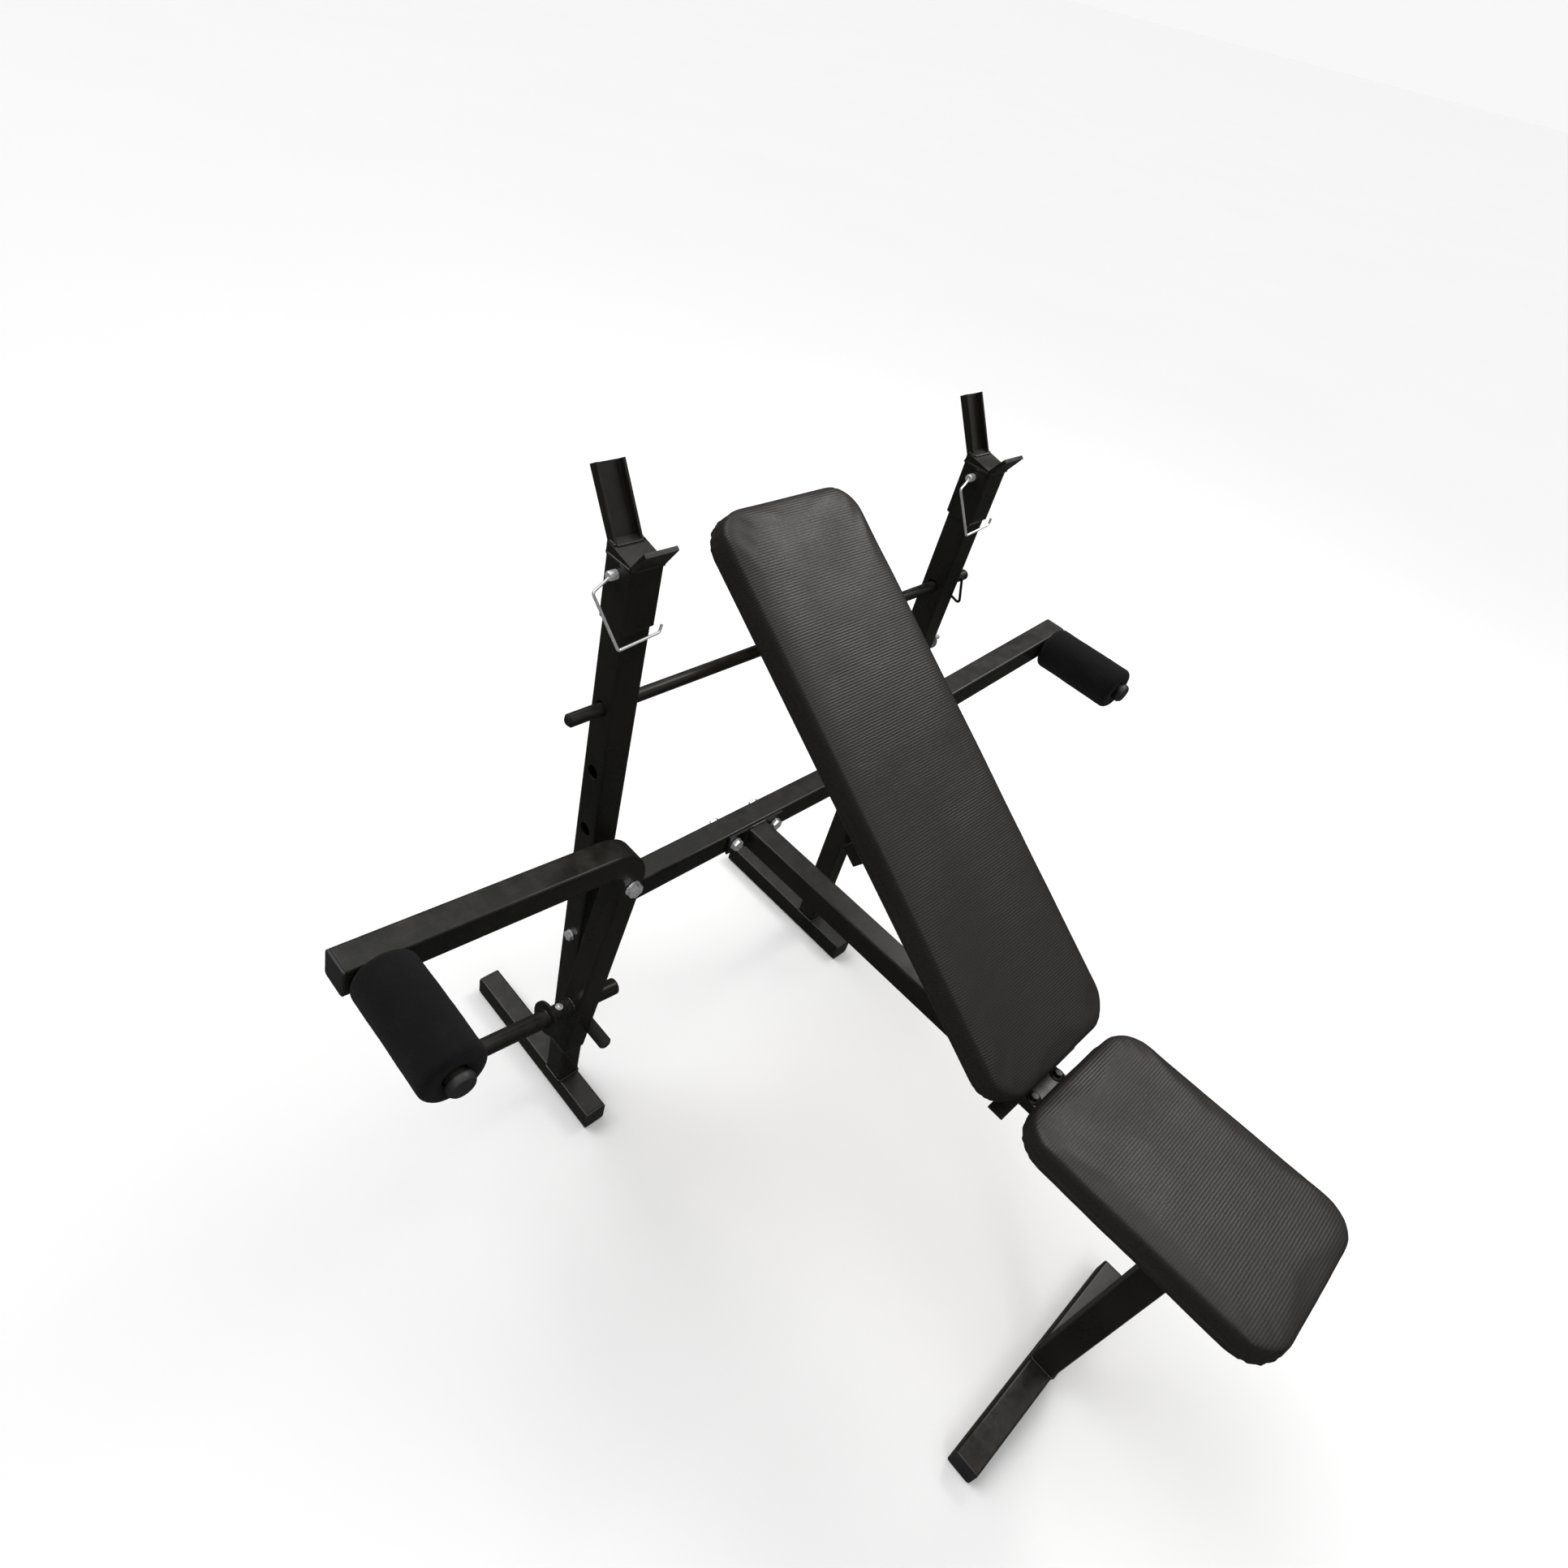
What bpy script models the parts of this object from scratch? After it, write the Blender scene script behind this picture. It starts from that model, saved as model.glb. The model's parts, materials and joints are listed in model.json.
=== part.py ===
"""Adjustable weight bench: a seat and a hinged backrest on a steel frame, two uprights with barbell
holders, a removable support bar under the backrest, and two fly levers with foam rollers.

Metres, +Z up, -Y towards the seat, X across the bench. The origin is on the floor, under the middle.
"""
import math

import bmesh
import bpy
from mathutils import Matrix, Vector

# Steel sections
TUBE = 0.038              # outside width of the square frame tube
WALL = 0.002
TUBE_CORNER = 0.004       # outside corner radius
HALF = TUBE / 2
PLATE = 0.004             # thickness of flat plates
GAP = 0.0003              # running gap between touching pieces

# Frame
UPRIGHT_X = 0.305         # half the distance between the uprights' centre lines
UPRIGHT_Y = 0.34225
UPRIGHT_TOP = 1.000
BEAM_Z = 0.460            # centre height of the cross beam and the main beam
FOOT_FRONT = -0.0925      # ends of a side foot, measured from the upright's centre
FOOT_REAR = 0.2225
MAIN_BEAM_FRONT = -0.870  # measured from the uprights
FRONT_POST = -0.800
FRONT_FOOT_LENGTH = 0.400
CAP_FLANGE = 0.004
CAP_PLUG = 0.012
BEAM_BOLT = 0.004         # radius of the bolts that hold the cross beam
BEAM_BOLT_HEAD = 0.013
BEAM_BOLT_SPREAD = 0.050  # distance of each bolt from the beam's centre line
BEAM_PLATE_HEIGHT = 0.130
BEAM_PLATE_WINDOW = 0.010 # radius of the hole in the middle of an end plate
JOINT_BOLT = 0.005        # radius of the bolts that hold the main beam
JOINT_BOLT_X = 0.042
JOINT_BOLT_HEAD = 0.017
JOINT_PLATE_WIDTH = 0.112

# Backrest
RECLINE = math.radians(33.7)     # slope of the backrest
PAD_WIDTH = 0.250
PAD_LENGTH = 0.788
PAD_THICKNESS = 0.045
PAD_CORNER = 0.040
PAD_EDGE = 0.015                 # width of the rounding round a pad's top
BOARD = 0.010                    # board let into the underside of a pad
BOARD_INSET = 0.008
PAD_LOW_Y = -0.57366             # lower edge of the pad's top face, measured from the uprights
PAD_LOW_Z = 0.54356
PIVOT_ALONG = 0.043              # pivot's distance up the backrest from that edge
PIVOT_RADIUS = 0.006
RAIL_LOW = -0.020                # ends of the rail, measured from the pivot along the backrest
RAIL_HIGH = 0.685
WINGS = ((0.050, 0.080), (0.305, 0.112), (0.615, 0.080))  # cross members: place along the rail, reach
WING_DEPTH = 0.025
WING_WIDTH = 0.028
HINGE_BOLT_HEAD = 0.018
EAR_RADIUS = 0.016
EAR_BASE = 0.026                 # half the ear's width where it meets the base plate
EAR_CLEARANCE = 0.0015
BRACKET_HALF_WIDTH = 0.038
BRACKET_FRONT = -0.612
BRACKET_REAR = -0.462
STRAP_HALF_WIDTH = 0.086         # cross strap of the hinge bracket, under the gap between the pads
STRAP_FRONT = -0.561
STRAP_REAR = -0.539

# Seat
SEAT_LENGTH = 0.332
SEAT_REAR = -0.579
SEAT_TOP = 0.548
SEAT_BRACKET_WIDTH = 0.200
SEAT_BRACKET_DEPTH = 0.030

# Support bar and the holes it goes through
BAR_RADIUS = 0.008
BAR_HALF_LENGTH = 0.370
HOLE_RADIUS = 0.0095
HOLE_PITCH = 0.0975
HOLE_COUNT = 3
CLIP_GAP = 0.011                 # clip's distance outside the upright
CLIP_RADIUS = 0.0022

# Barbell holders and their lock pins
SLEEVE = 0.044
SLEEVE_BORE = 0.0392
SLEEVE_LOW = 0.930
SADDLE_LOW = 1.002
GUARD_WIDTH = 0.036
GUARD_DEPTH = 0.011
GUARD_WALL = 0.003
GUARD_LENGTH = 0.087
GUARD_LEAN = math.radians(33)
PIN_Z = 0.990
PIN_RADIUS = 0.004
PIN_HEAD = 0.0055
WIRE_RADIUS = 0.0017
WIRE_BEND = 0.0035

# Fly levers
PIVOT_X = 0.296
PIVOT_Z = 0.565
LEVER_Y = -0.054                 # lever's centre plane, measured from the uprights
ARM_RISE = math.radians(5.7)
LEG_LEAN = math.radians(9.7)
ARM_REACH = 0.371                # outward distance from pivot to the arm's end
LEG_LENGTH = 0.330
LEVER_CORNER = 0.048             # distance from pivot up to the corner of the centre lines
LEVER_BEND = 0.040               # bend radius of the centre line
ROLLER_REACH = 0.335
ROLLER_RADIUS = 0.0375
ROLLER_LENGTH = 0.145
ROLLER_TUBE = 0.0125
PEG_DROP = 0.2464                # distance from pivot down the leg to the plate peg
PEG_RADIUS = 0.0125
PEG_INNER = 0.060
PEG_OUTER = 0.190
PEG_WALL = 0.002
FLANGE_AT = 0.059
FLANGE_RADIUS = 0.025
STOP_DROP = 0.307
STOP_RADIUS = 0.010
STOP_LENGTH = 0.084
BUSH_RADIUS = 0.013
LEVER_BOLT_HEAD = 0.019

ROUND = 20                       # sides of a round piece
FINE = 28

SIDES = (("left", -1), ("right", 1))


# ---------------------------------------------------------------- scene, materials and placing

def clear_scene():
    for item in list(bpy.data.objects):
        bpy.data.objects.remove(item)


def material(name, colour, roughness, metallic):
    found = bpy.data.materials.get(name)
    if found:
        return found
    made = bpy.data.materials.new(name)
    made.use_nodes = True
    shader = made.node_tree.nodes["Principled BSDF"]
    shader.inputs["Base Color"].default_value = (*colour, 1.0)
    shader.inputs["Roughness"].default_value = roughness
    shader.inputs["Metallic"].default_value = metallic
    made.diffuse_color = (*colour, 1.0)
    return made


def paint():
    return material("black_paint", (0.022, 0.022, 0.023), 0.32, 0.0)


def zinc():
    return material("zinc", (0.62, 0.63, 0.65), 0.30, 1.0)


def plastic():
    return material("black_plastic", (0.02, 0.02, 0.02), 0.5, 0.0)


def rubber():
    return material("black_rubber", (0.015, 0.015, 0.015), 0.8, 0.0)


def vinyl():
    return material("black_vinyl", (0.045, 0.043, 0.043), 0.45, 0.0)


def foam():
    return material("black_foam", (0.012, 0.012, 0.012), 0.95, 0.0)


def plywood():
    return material("plywood", (0.30, 0.20, 0.11), 0.7, 0.0)


def frame(origin, along, side):
    """Matrix whose Z runs along one direction and whose X lies near another."""
    z = Vector(along).normalized()
    x = Vector(side) - z * z.dot(Vector(side))
    x.normalize()
    y = z.cross(x)
    rows = Matrix((x, y, z)).transposed().to_4x4()
    rows.translation = Vector(origin)
    return rows


def add_object(name, mesh_data, finish, placed=None, parent=None):
    """Turn a bmesh into an object, placed by a matrix in its parent's space."""
    bmesh.ops.recalc_face_normals(mesh_data, faces=mesh_data.faces)
    mesh = bpy.data.meshes.new(name)
    mesh_data.to_mesh(mesh)
    mesh_data.free()
    mesh.materials.append(finish)
    item = bpy.data.objects.new(name, mesh)
    bpy.context.collection.objects.link(item)
    if placed is not None:
        item.matrix_basis = placed
    item.parent = parent
    return item


def smooth(item, angle=35):
    item.data.shade_smooth()
    item.data.set_sharp_from_angle(angle=math.radians(angle))
    return item


def axis_empty(name, location, rotation=(0, 0, 0)):
    empty = bpy.data.objects.new(name, None)
    empty.location = location
    empty.rotation_euler = rotation
    bpy.context.collection.objects.link(empty)
    return empty


# ---------------------------------------------------------------- outlines and solids

def rounded_outline(width, height, radius, steps=3):
    """Corner points of a rectangle with rounded corners, anticlockwise."""
    points = []
    for quarter, (sx, sy) in enumerate(((1, 1), (-1, 1), (-1, -1), (1, -1))):
        centre = Vector((sx * (width / 2 - radius), sy * (height / 2 - radius)))
        for step in range(steps + 1):
            turn = math.pi / 2 * (quarter + step / steps)
            points.append(centre + radius * Vector((math.cos(turn), math.sin(turn))))
    return points


def circle_outline(radius, sides=ROUND):
    turns = (2 * math.pi * step / sides for step in range(sides))
    return [Vector((radius * math.cos(turn), radius * math.sin(turn))) for turn in turns]


def add_rings(mesh_data, outline, frames):
    rings = []
    for placed in frames:
        rings.append([mesh_data.verts.new(placed @ Vector((p[0], p[1], 0.0))) for p in outline])
    for low, high in zip(rings, rings[1:]):
        for i in range(len(low)):
            j = (i + 1) % len(low)
            mesh_data.faces.new((low[i], low[j], high[j], high[i]))
    return rings


def swept(outline, frames, hollow=None):
    """Sweep an outline through the frames; hollow is a second outline for the bore."""
    mesh_data = bmesh.new()
    outer = add_rings(mesh_data, outline, frames)
    if hollow is None:
        mesh_data.faces.new(outer[0])
        mesh_data.faces.new(outer[-1])
        return mesh_data
    inner = add_rings(mesh_data, hollow, frames)
    for around, within in ((outer[0], inner[0]), (outer[-1], inner[-1])):
        for i in range(len(around)):
            j = (i + 1) % len(around)
            mesh_data.faces.new((around[i], around[j], within[j], within[i]))
    return mesh_data


def turned(profile, sides=ROUND, ring=False):
    """Turn (radius, height) points about Z; a ring profile closes on itself."""
    mesh_data = bmesh.new()
    rings = []
    for radius, height in profile:
        if radius == 0:
            rings.append([mesh_data.verts.new((0, 0, height))])
        else:
            rings.append([mesh_data.verts.new((p.x, p.y, height)) for p in circle_outline(radius, sides)])
    pairs = list(zip(rings, rings[1:]))
    if ring:
        pairs.append((rings[-1], rings[0]))
    for low, high in pairs:
        for i in range(sides):
            j = (i + 1) % sides
            if len(low) == 1:
                mesh_data.faces.new((low[0], high[j], high[i]))
            elif len(high) == 1:
                mesh_data.faces.new((low[i], low[j], high[0]))
            else:
                mesh_data.faces.new((low[i], low[j], high[j], high[i]))
    return mesh_data


def box(low, high):
    mesh_data = bmesh.new()
    bmesh.ops.create_cube(mesh_data, size=1.0)
    size = Vector(high) - Vector(low)
    middle = (Vector(high) + Vector(low)) / 2
    for vert in mesh_data.verts:
        vert.co = Vector((vert.co.x * size.x, vert.co.y * size.y, vert.co.z * size.z)) + middle
    return mesh_data


def square_tube(start, end, side, width=TUBE, wall=WALL, corner=TUBE_CORNER):
    """Hollow square tube between two points, open at both ends."""
    run = Vector(end) - Vector(start)
    frames = [frame(start, run, side), frame(end, run, side)]
    inner = width - 2 * wall
    return swept(rounded_outline(width, width, corner), frames,
                 rounded_outline(inner, inner, corner - wall / 2))


# ---------------------------------------------------------------- booleans

def hide_tool(item):
    item.hide_render = True
    item.display_type = "WIRE"
    return item


def boolean(item, tool, operation):
    step = item.modifiers.new(tool.name, "BOOLEAN")
    step.operation = operation
    step.solver = "EXACT"
    step.object = tool


def bore(item, holes, sides=ROUND):
    """Cut round holes, each (centre, direction, radius, length), all in the item's parent space."""
    mesh_data = bmesh.new()
    for centre, direction, radius, length in holes:
        side = (0, 0, 1) if abs(Vector(direction).normalized().z) < 0.9 else (1, 0, 0)
        half = Vector(direction).normalized() * length / 2
        frames = [frame(Vector(centre) - half, half, side), frame(Vector(centre) + half, half, side)]
        rings = add_rings(mesh_data, circle_outline(radius, sides), frames)
        mesh_data.faces.new(rings[0])
        mesh_data.faces.new(rings[-1])
    tool = hide_tool(add_object("cut_" + item.name, mesh_data, paint(), parent=item.parent))
    boolean(item, tool, "DIFFERENCE")


def weld(item, mesh_data, label):
    """Join another solid to an item, as a weld does."""
    tool = hide_tool(add_object("weld_" + item.name + "_" + label, mesh_data, paint(), parent=item.parent))
    boolean(item, tool, "UNION")


# ---------------------------------------------------------------- small hardware

def bolt(name, seat, direction, radius, grip, head_width, parent=None):
    """Hexagon bolt with washer and nut: the head sits at seat, the shank runs along direction."""
    head_height = 0.65 * 2 * radius
    washer = 0.0015
    flats = head_width / math.cos(math.pi / 6) / 2
    placed = frame(seat, direction, (0, 0, 1) if abs(direction[2]) < 0.9 else (1, 0, 0))
    mesh_data = bmesh.new()
    steps = [(flats, -GAP - washer - head_height, 6), (flats, -GAP - washer, 6),
             (head_width * 0.62, -GAP - washer, 18), (head_width * 0.62, -GAP, 18), (radius, -GAP, 18),
             (radius, grip + GAP, 18), (head_width * 0.62, grip + GAP, 18),
             (head_width * 0.62, grip + GAP + washer, 18), (flats, grip + GAP + washer, 6),
             (flats, grip + GAP + washer + head_height, 6), (radius, grip + GAP + washer + head_height, 6),
             (radius, grip + GAP + washer + head_height + radius, 6)]
    rings = []
    for reach, height, sides in steps:
        rings.append([mesh_data.verts.new((p.x, p.y, height)) for p in circle_outline(reach, sides)])
    for low, high in zip(rings, rings[1:]):
        join_rings(mesh_data, low, high)
    mesh_data.faces.new(rings[0])
    mesh_data.faces.new(rings[-1])
    return smooth(add_object(name, mesh_data, zinc(), placed, parent), 30)


def join_rings(mesh_data, low, high):
    """Bridge two rings whose point counts are equal, or three to one."""
    if len(low) > len(high):
        low, high = high, low
    ratio = len(high) // len(low)
    for i in range(len(low)):
        j = (i + 1) % len(low)
        fan = [high[(i * ratio + k) % len(high)] for k in range(ratio + 1)]
        mesh_data.faces.new([low[i], low[j]] + fan[::-1])


def end_cap(name, tube_end, outward, side, parent=None, width=TUBE, wall=WALL):
    """Plastic plug for a square tube: a flange outside and a shorter plug inside the bore."""
    placed = frame(tube_end, outward, side)
    inner = width - 2 * wall - 2 * GAP
    levels = [(inner, -CAP_PLUG), (inner, GAP), (width, GAP), (width, CAP_FLANGE - 0.001),
              (width - 0.003, CAP_FLANGE)]
    mesh_data = bmesh.new()
    rings = []
    for size, height in levels:
        corner = TUBE_CORNER * size / width - (0.001 if size < width - 0.0035 else 0)
        outline = rounded_outline(size, size, corner)
        rings.append([mesh_data.verts.new((p.x, p.y, height)) for p in outline])
    for low, high in zip(rings, rings[1:]):
        join_rings(mesh_data, low, high)
    mesh_data.faces.new(rings[0])
    mesh_data.faces.new(rings[-1])
    return add_object(name, mesh_data, plastic(), placed, parent)


def round_rod(name, start, end, radius, finish, parent=None, edge=0.0015, sides=ROUND):
    """Solid round rod with eased ends."""
    run = Vector(end) - Vector(start)
    length = run.length
    profile = [(0, 0), (radius - edge, 0), (radius, edge), (radius, length - edge),
               (radius - edge, length), (0, length)]
    side = (0, 0, 1) if abs(run.normalized().z) < 0.9 else (1, 0, 0)
    return smooth(add_object(name, turned(profile, sides), finish, frame(start, run, side), parent))


def rounded_path(corners, radius, steps=4):
    """Points along a polyline whose corners are rounded by arcs of one radius."""
    points = [Vector(corners[0])]
    for before, here, after in zip(corners, corners[1:], corners[2:]):
        into = (Vector(here) - Vector(before)).normalized()
        out = (Vector(after) - Vector(here)).normalized()
        turn = into.angle(out)
        reach = radius * math.tan(turn / 2)
        centre = Vector(here) - into * reach
        normal = (out - into * into.dot(out)).normalized()
        centre += normal * radius
        for step in range(steps + 1):
            swing = turn * step / steps
            points.append(centre - normal * radius * math.cos(swing) + into * radius * math.sin(swing))
    points.append(Vector(corners[-1]))
    return points


def path_frames(points, side):
    """Frames along a path, each square to the path there."""
    frames = []
    for i, point in enumerate(points):
        ahead = points[min(i + 1, len(points) - 1)] - point
        behind = point - points[max(i - 1, 0)]
        along = ahead.normalized() + behind.normalized()
        frames.append(frame(point, along, side))
    return frames


# ---------------------------------------------------------------- fixed frame

def at(x, y, z):
    """A point whose Y is measured from the plane of the uprights."""
    return Vector((x, UPRIGHT_Y + y, z))


def make_side_foot(name, side):
    x = side * UPRIGHT_X
    front = at(x, FOOT_FRONT, HALF)
    rear = at(x, FOOT_REAR, HALF)
    add_object(name + "_foot", square_tube(front, rear, (1, 0, 0)), paint())
    end_cap(name + "_foot_front_cap", front, (0, -1, 0), (1, 0, 0))
    end_cap(name + "_foot_rear_cap", rear, (0, 1, 0), (1, 0, 0))


def bar_height():
    """Height of the support bar's centre, under the rail of the lowered backrest."""
    pivot = pivot_point()
    run = UPRIGHT_Y - pivot.y
    return pivot.z + run * math.tan(RECLINE) - (HALF + BAR_RADIUS + GAP) / math.cos(RECLINE)


def bar_hole_heights():
    """The bar lies on the bottom of the top hole."""
    top = bar_height() + HOLE_RADIUS - BAR_RADIUS - GAP
    return [top - HOLE_PITCH * i for i in range(HOLE_COUNT)]


def beam_bolt_heights():
    return (BEAM_Z + BEAM_BOLT_SPREAD, BEAM_Z - BEAM_BOLT_SPREAD)


def make_upright(name, side):
    x = side * UPRIGHT_X
    start = at(x, 0, TUBE + GAP)
    end = at(x, 0, UPRIGHT_TOP)
    post = add_object(name + "_upright", square_tube(start, end, (1, 0, 0)), paint())
    across = [(at(x, 0, z), (1, 0, 0), HOLE_RADIUS, 0.06) for z in bar_hole_heights()]
    across += [(at(x, 0, z), (1, 0, 0), BEAM_BOLT + GAP, 0.06) for z in beam_bolt_heights()]
    across.append((at(x, 0, PIN_Z), (1, 0, 0), PIN_RADIUS + 0.0005, 0.06))
    across.append((at(side * PIVOT_X, 0, PIVOT_Z), (0, 1, 0), PIVOT_RADIUS + GAP, 0.06))
    bore(post, across)


def make_cross_beam():
    """Cross tube with an end plate each side, and holes where the main beam bolts on."""
    face = UPRIGHT_X - HALF - GAP
    end = face - PLATE / 2
    beam = add_object("cross_beam", square_tube(at(-end, 0, BEAM_Z), at(end, 0, BEAM_Z), (0, 0, 1)), paint())
    holes = []
    for name, side in SIDES:
        low = at(side * face if side < 0 else face - PLATE, -HALF + 0.001, BEAM_Z - BEAM_PLATE_HEIGHT / 2)
        high = at(face if side > 0 else -face + PLATE, HALF - 0.001, BEAM_Z + BEAM_PLATE_HEIGHT / 2)
        weld(beam, box(low, high), name)
        holes += [(at(side * face, 0, z), (1, 0, 0), BEAM_BOLT + GAP, 0.03) for z in beam_bolt_heights()]
        holes.append((at(side * face, 0, BEAM_Z), (1, 0, 0), BEAM_PLATE_WINDOW, 0.03))
        holes.append((at(side * JOINT_BOLT_X, 0, BEAM_Z), (0, 1, 0), JOINT_BOLT + GAP, 0.06))
    bore(beam, holes)


def make_beam_bolts(name, side):
    outer = side * (UPRIGHT_X + HALF)
    for label, z in zip(("upper", "lower"), beam_bolt_heights()):
        bolt(name + "_beam_bolt_" + label, at(outer, 0, z), (-side, 0, 0), BEAM_BOLT,
             TUBE + GAP + PLATE, BEAM_BOLT_HEAD)


def make_main_beam():
    """Long tube under the seat, with the plate that bolts to the cross beam."""
    rear = -HALF - GAP
    start = at(0, rear - PLATE / 2, BEAM_Z)
    end = at(0, MAIN_BEAM_FRONT, BEAM_Z)
    beam = add_object("main_beam", square_tube(start, end, (1, 0, 0)), paint())
    reach = JOINT_PLATE_WIDTH / 2
    weld(beam, box(at(-reach, rear - PLATE, BEAM_Z - HALF + 0.001), at(reach, rear, BEAM_Z + HALF - 0.001)),
         "plate")
    bore(beam, [(at(side * JOINT_BOLT_X, rear, BEAM_Z), (0, 1, 0), JOINT_BOLT + GAP, 0.03)
                for _, side in SIDES])
    end_cap("main_beam_cap", end, (0, -1, 0), (1, 0, 0))


def make_joint_bolt(name, side):
    seat = at(side * JOINT_BOLT_X, -HALF - GAP - PLATE, BEAM_Z)
    bolt("main_beam_bolt_" + name, seat, (0, 1, 0), JOINT_BOLT, PLATE + GAP + TUBE, JOINT_BOLT_HEAD)


def make_front_support():
    post_low = at(0, FRONT_POST, TUBE + GAP)
    post_high = at(0, FRONT_POST, BEAM_Z - HALF - GAP)
    add_object("front_post", square_tube(post_low, post_high, (1, 0, 0)), paint())
    reach = FRONT_FOOT_LENGTH / 2
    left = at(-reach, FRONT_POST, HALF)
    right = at(reach, FRONT_POST, HALF)
    add_object("front_foot", square_tube(left, right, (0, 1, 0)), paint())
    end_cap("front_foot_left_cap", left, (-1, 0, 0), (0, 1, 0))
    end_cap("front_foot_right_cap", right, (1, 0, 0), (0, 1, 0))


# ---------------------------------------------------------------- pads

def cushion(name, width, length, parent, placed):
    """Padded top with rounded edges and a pocket below for its board."""
    levels = [(0.0, 0.004), (0.004, 0.0), (PAD_THICKNESS - PAD_EDGE, 0.0),
              (PAD_THICKNESS - PAD_EDGE / 3, PAD_EDGE / 3), (PAD_THICKNESS, PAD_EDGE)]
    mesh_data = bmesh.new()
    pocket = BOARD_INSET
    rings = []
    for height, inset in levels:
        outline = rounded_outline(width - 2 * inset, length - 2 * inset, PAD_CORNER - inset, 4)
        rings.append([mesh_data.verts.new((p.x, p.y, height)) for p in outline])
    for height in (BOARD + GAP, 0.0):
        outline = rounded_outline(width - 2 * pocket, length - 2 * pocket, PAD_CORNER - pocket, 4)
        rings.insert(0, [mesh_data.verts.new((p.x, p.y, height)) for p in outline])
    pocket_rim, pocket_floor = rings[0], rings[1]
    outer = rings[2:]
    for low, high in zip(outer, outer[1:]):
        join_rings(mesh_data, low, high)
    join_rings(mesh_data, pocket_rim, outer[0])
    join_rings(mesh_data, pocket_floor, pocket_rim)
    mesh_data.faces.new(pocket_floor)
    mesh_data.faces.new(outer[-1])
    return smooth(add_object(name, mesh_data, vinyl(), placed, parent), 50)


def pad_board(name, width, length, parent, placed):
    """Board that closes the pocket under a cushion."""
    inset = BOARD_INSET + GAP
    outline = rounded_outline(width - 2 * inset, length - 2 * inset, PAD_CORNER - inset, 4)
    frames = [Matrix.Translation((0, 0, 0)), Matrix.Translation((0, 0, BOARD))]
    return add_object(name, swept(outline, frames), plywood(), placed, parent)


def make_seat():
    middle_y = SEAT_REAR - SEAT_LENGTH / 2
    placed = Matrix.Translation(at(0, middle_y, SEAT_TOP - PAD_THICKNESS))
    cushion("seat_pad", PAD_WIDTH, SEAT_LENGTH, None, placed)
    pad_board("seat_board", PAD_WIDTH, SEAT_LENGTH, None, placed)
    low = BEAM_Z + HALF + GAP
    high = SEAT_TOP - PAD_THICKNESS - GAP
    height = high - low
    for label, offset in (("rear", SEAT_LENGTH / 4), ("front", -SEAT_LENGTH / 4)):
        y = middle_y + offset
        reach = SEAT_BRACKET_WIDTH / 2
        run = [frame(at(-reach, y, low + height / 2), (1, 0, 0), (0, 0, 1)),
               frame(at(reach, y, low + height / 2), (1, 0, 0), (0, 0, 1))]
        outline = rounded_outline(height, SEAT_BRACKET_DEPTH, 0.003, 2)
        hollow = rounded_outline(height - 2 * WALL, SEAT_BRACKET_DEPTH - 2 * WALL, 0.002, 2)
        add_object("seat_bracket_" + label, swept(outline, run, hollow), paint())


# ---------------------------------------------------------------- backrest, in its own tilted space

def pivot_point():
    """Backrest pivot: on the rail's centre line, one pad and half a tube below the pad's top face."""
    along = Vector((0, math.cos(RECLINE), math.sin(RECLINE)))
    normal = Vector((0, -math.sin(RECLINE), math.cos(RECLINE)))
    edge = at(0, PAD_LOW_Y, PAD_LOW_Z)
    return edge + along * PIVOT_ALONG - normal * (PAD_THICKNESS + GAP + HALF)


def make_backrest():
    axis = axis_empty("backrest_axis", pivot_point(), (RECLINE, 0, 0))
    rail = add_object("backrest_rail", square_tube((0, RAIL_LOW, 0), (0, RAIL_HIGH, 0), (1, 0, 0)),
                      paint(), parent=axis)
    for number, (along, reach) in enumerate(WINGS):
        for name, side in SIDES:
            ends = sorted((side * (HALF - 0.001), side * reach))
            low = (ends[0], along - WING_WIDTH / 2, HALF - 0.0005 - WING_DEPTH)
            high = (ends[1], along + WING_WIDTH / 2, HALF - 0.0005)
            weld(rail, box(low, high), name + str(number))
    bore(rail, [((0, 0, 0), (1, 0, 0), PIVOT_RADIUS + GAP, 0.06)])
    end_cap("backrest_rail_cap", (0, RAIL_HIGH, 0), (0, 1, 0), (1, 0, 0), axis)
    middle = PAD_LENGTH / 2 - PIVOT_ALONG
    placed = Matrix.Translation((0, middle, HALF + GAP))
    cushion("backrest_pad", PAD_WIDTH, PAD_LENGTH, axis, placed)
    pad_board("backrest_board", PAD_WIDTH, PAD_LENGTH, axis, placed)


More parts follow.
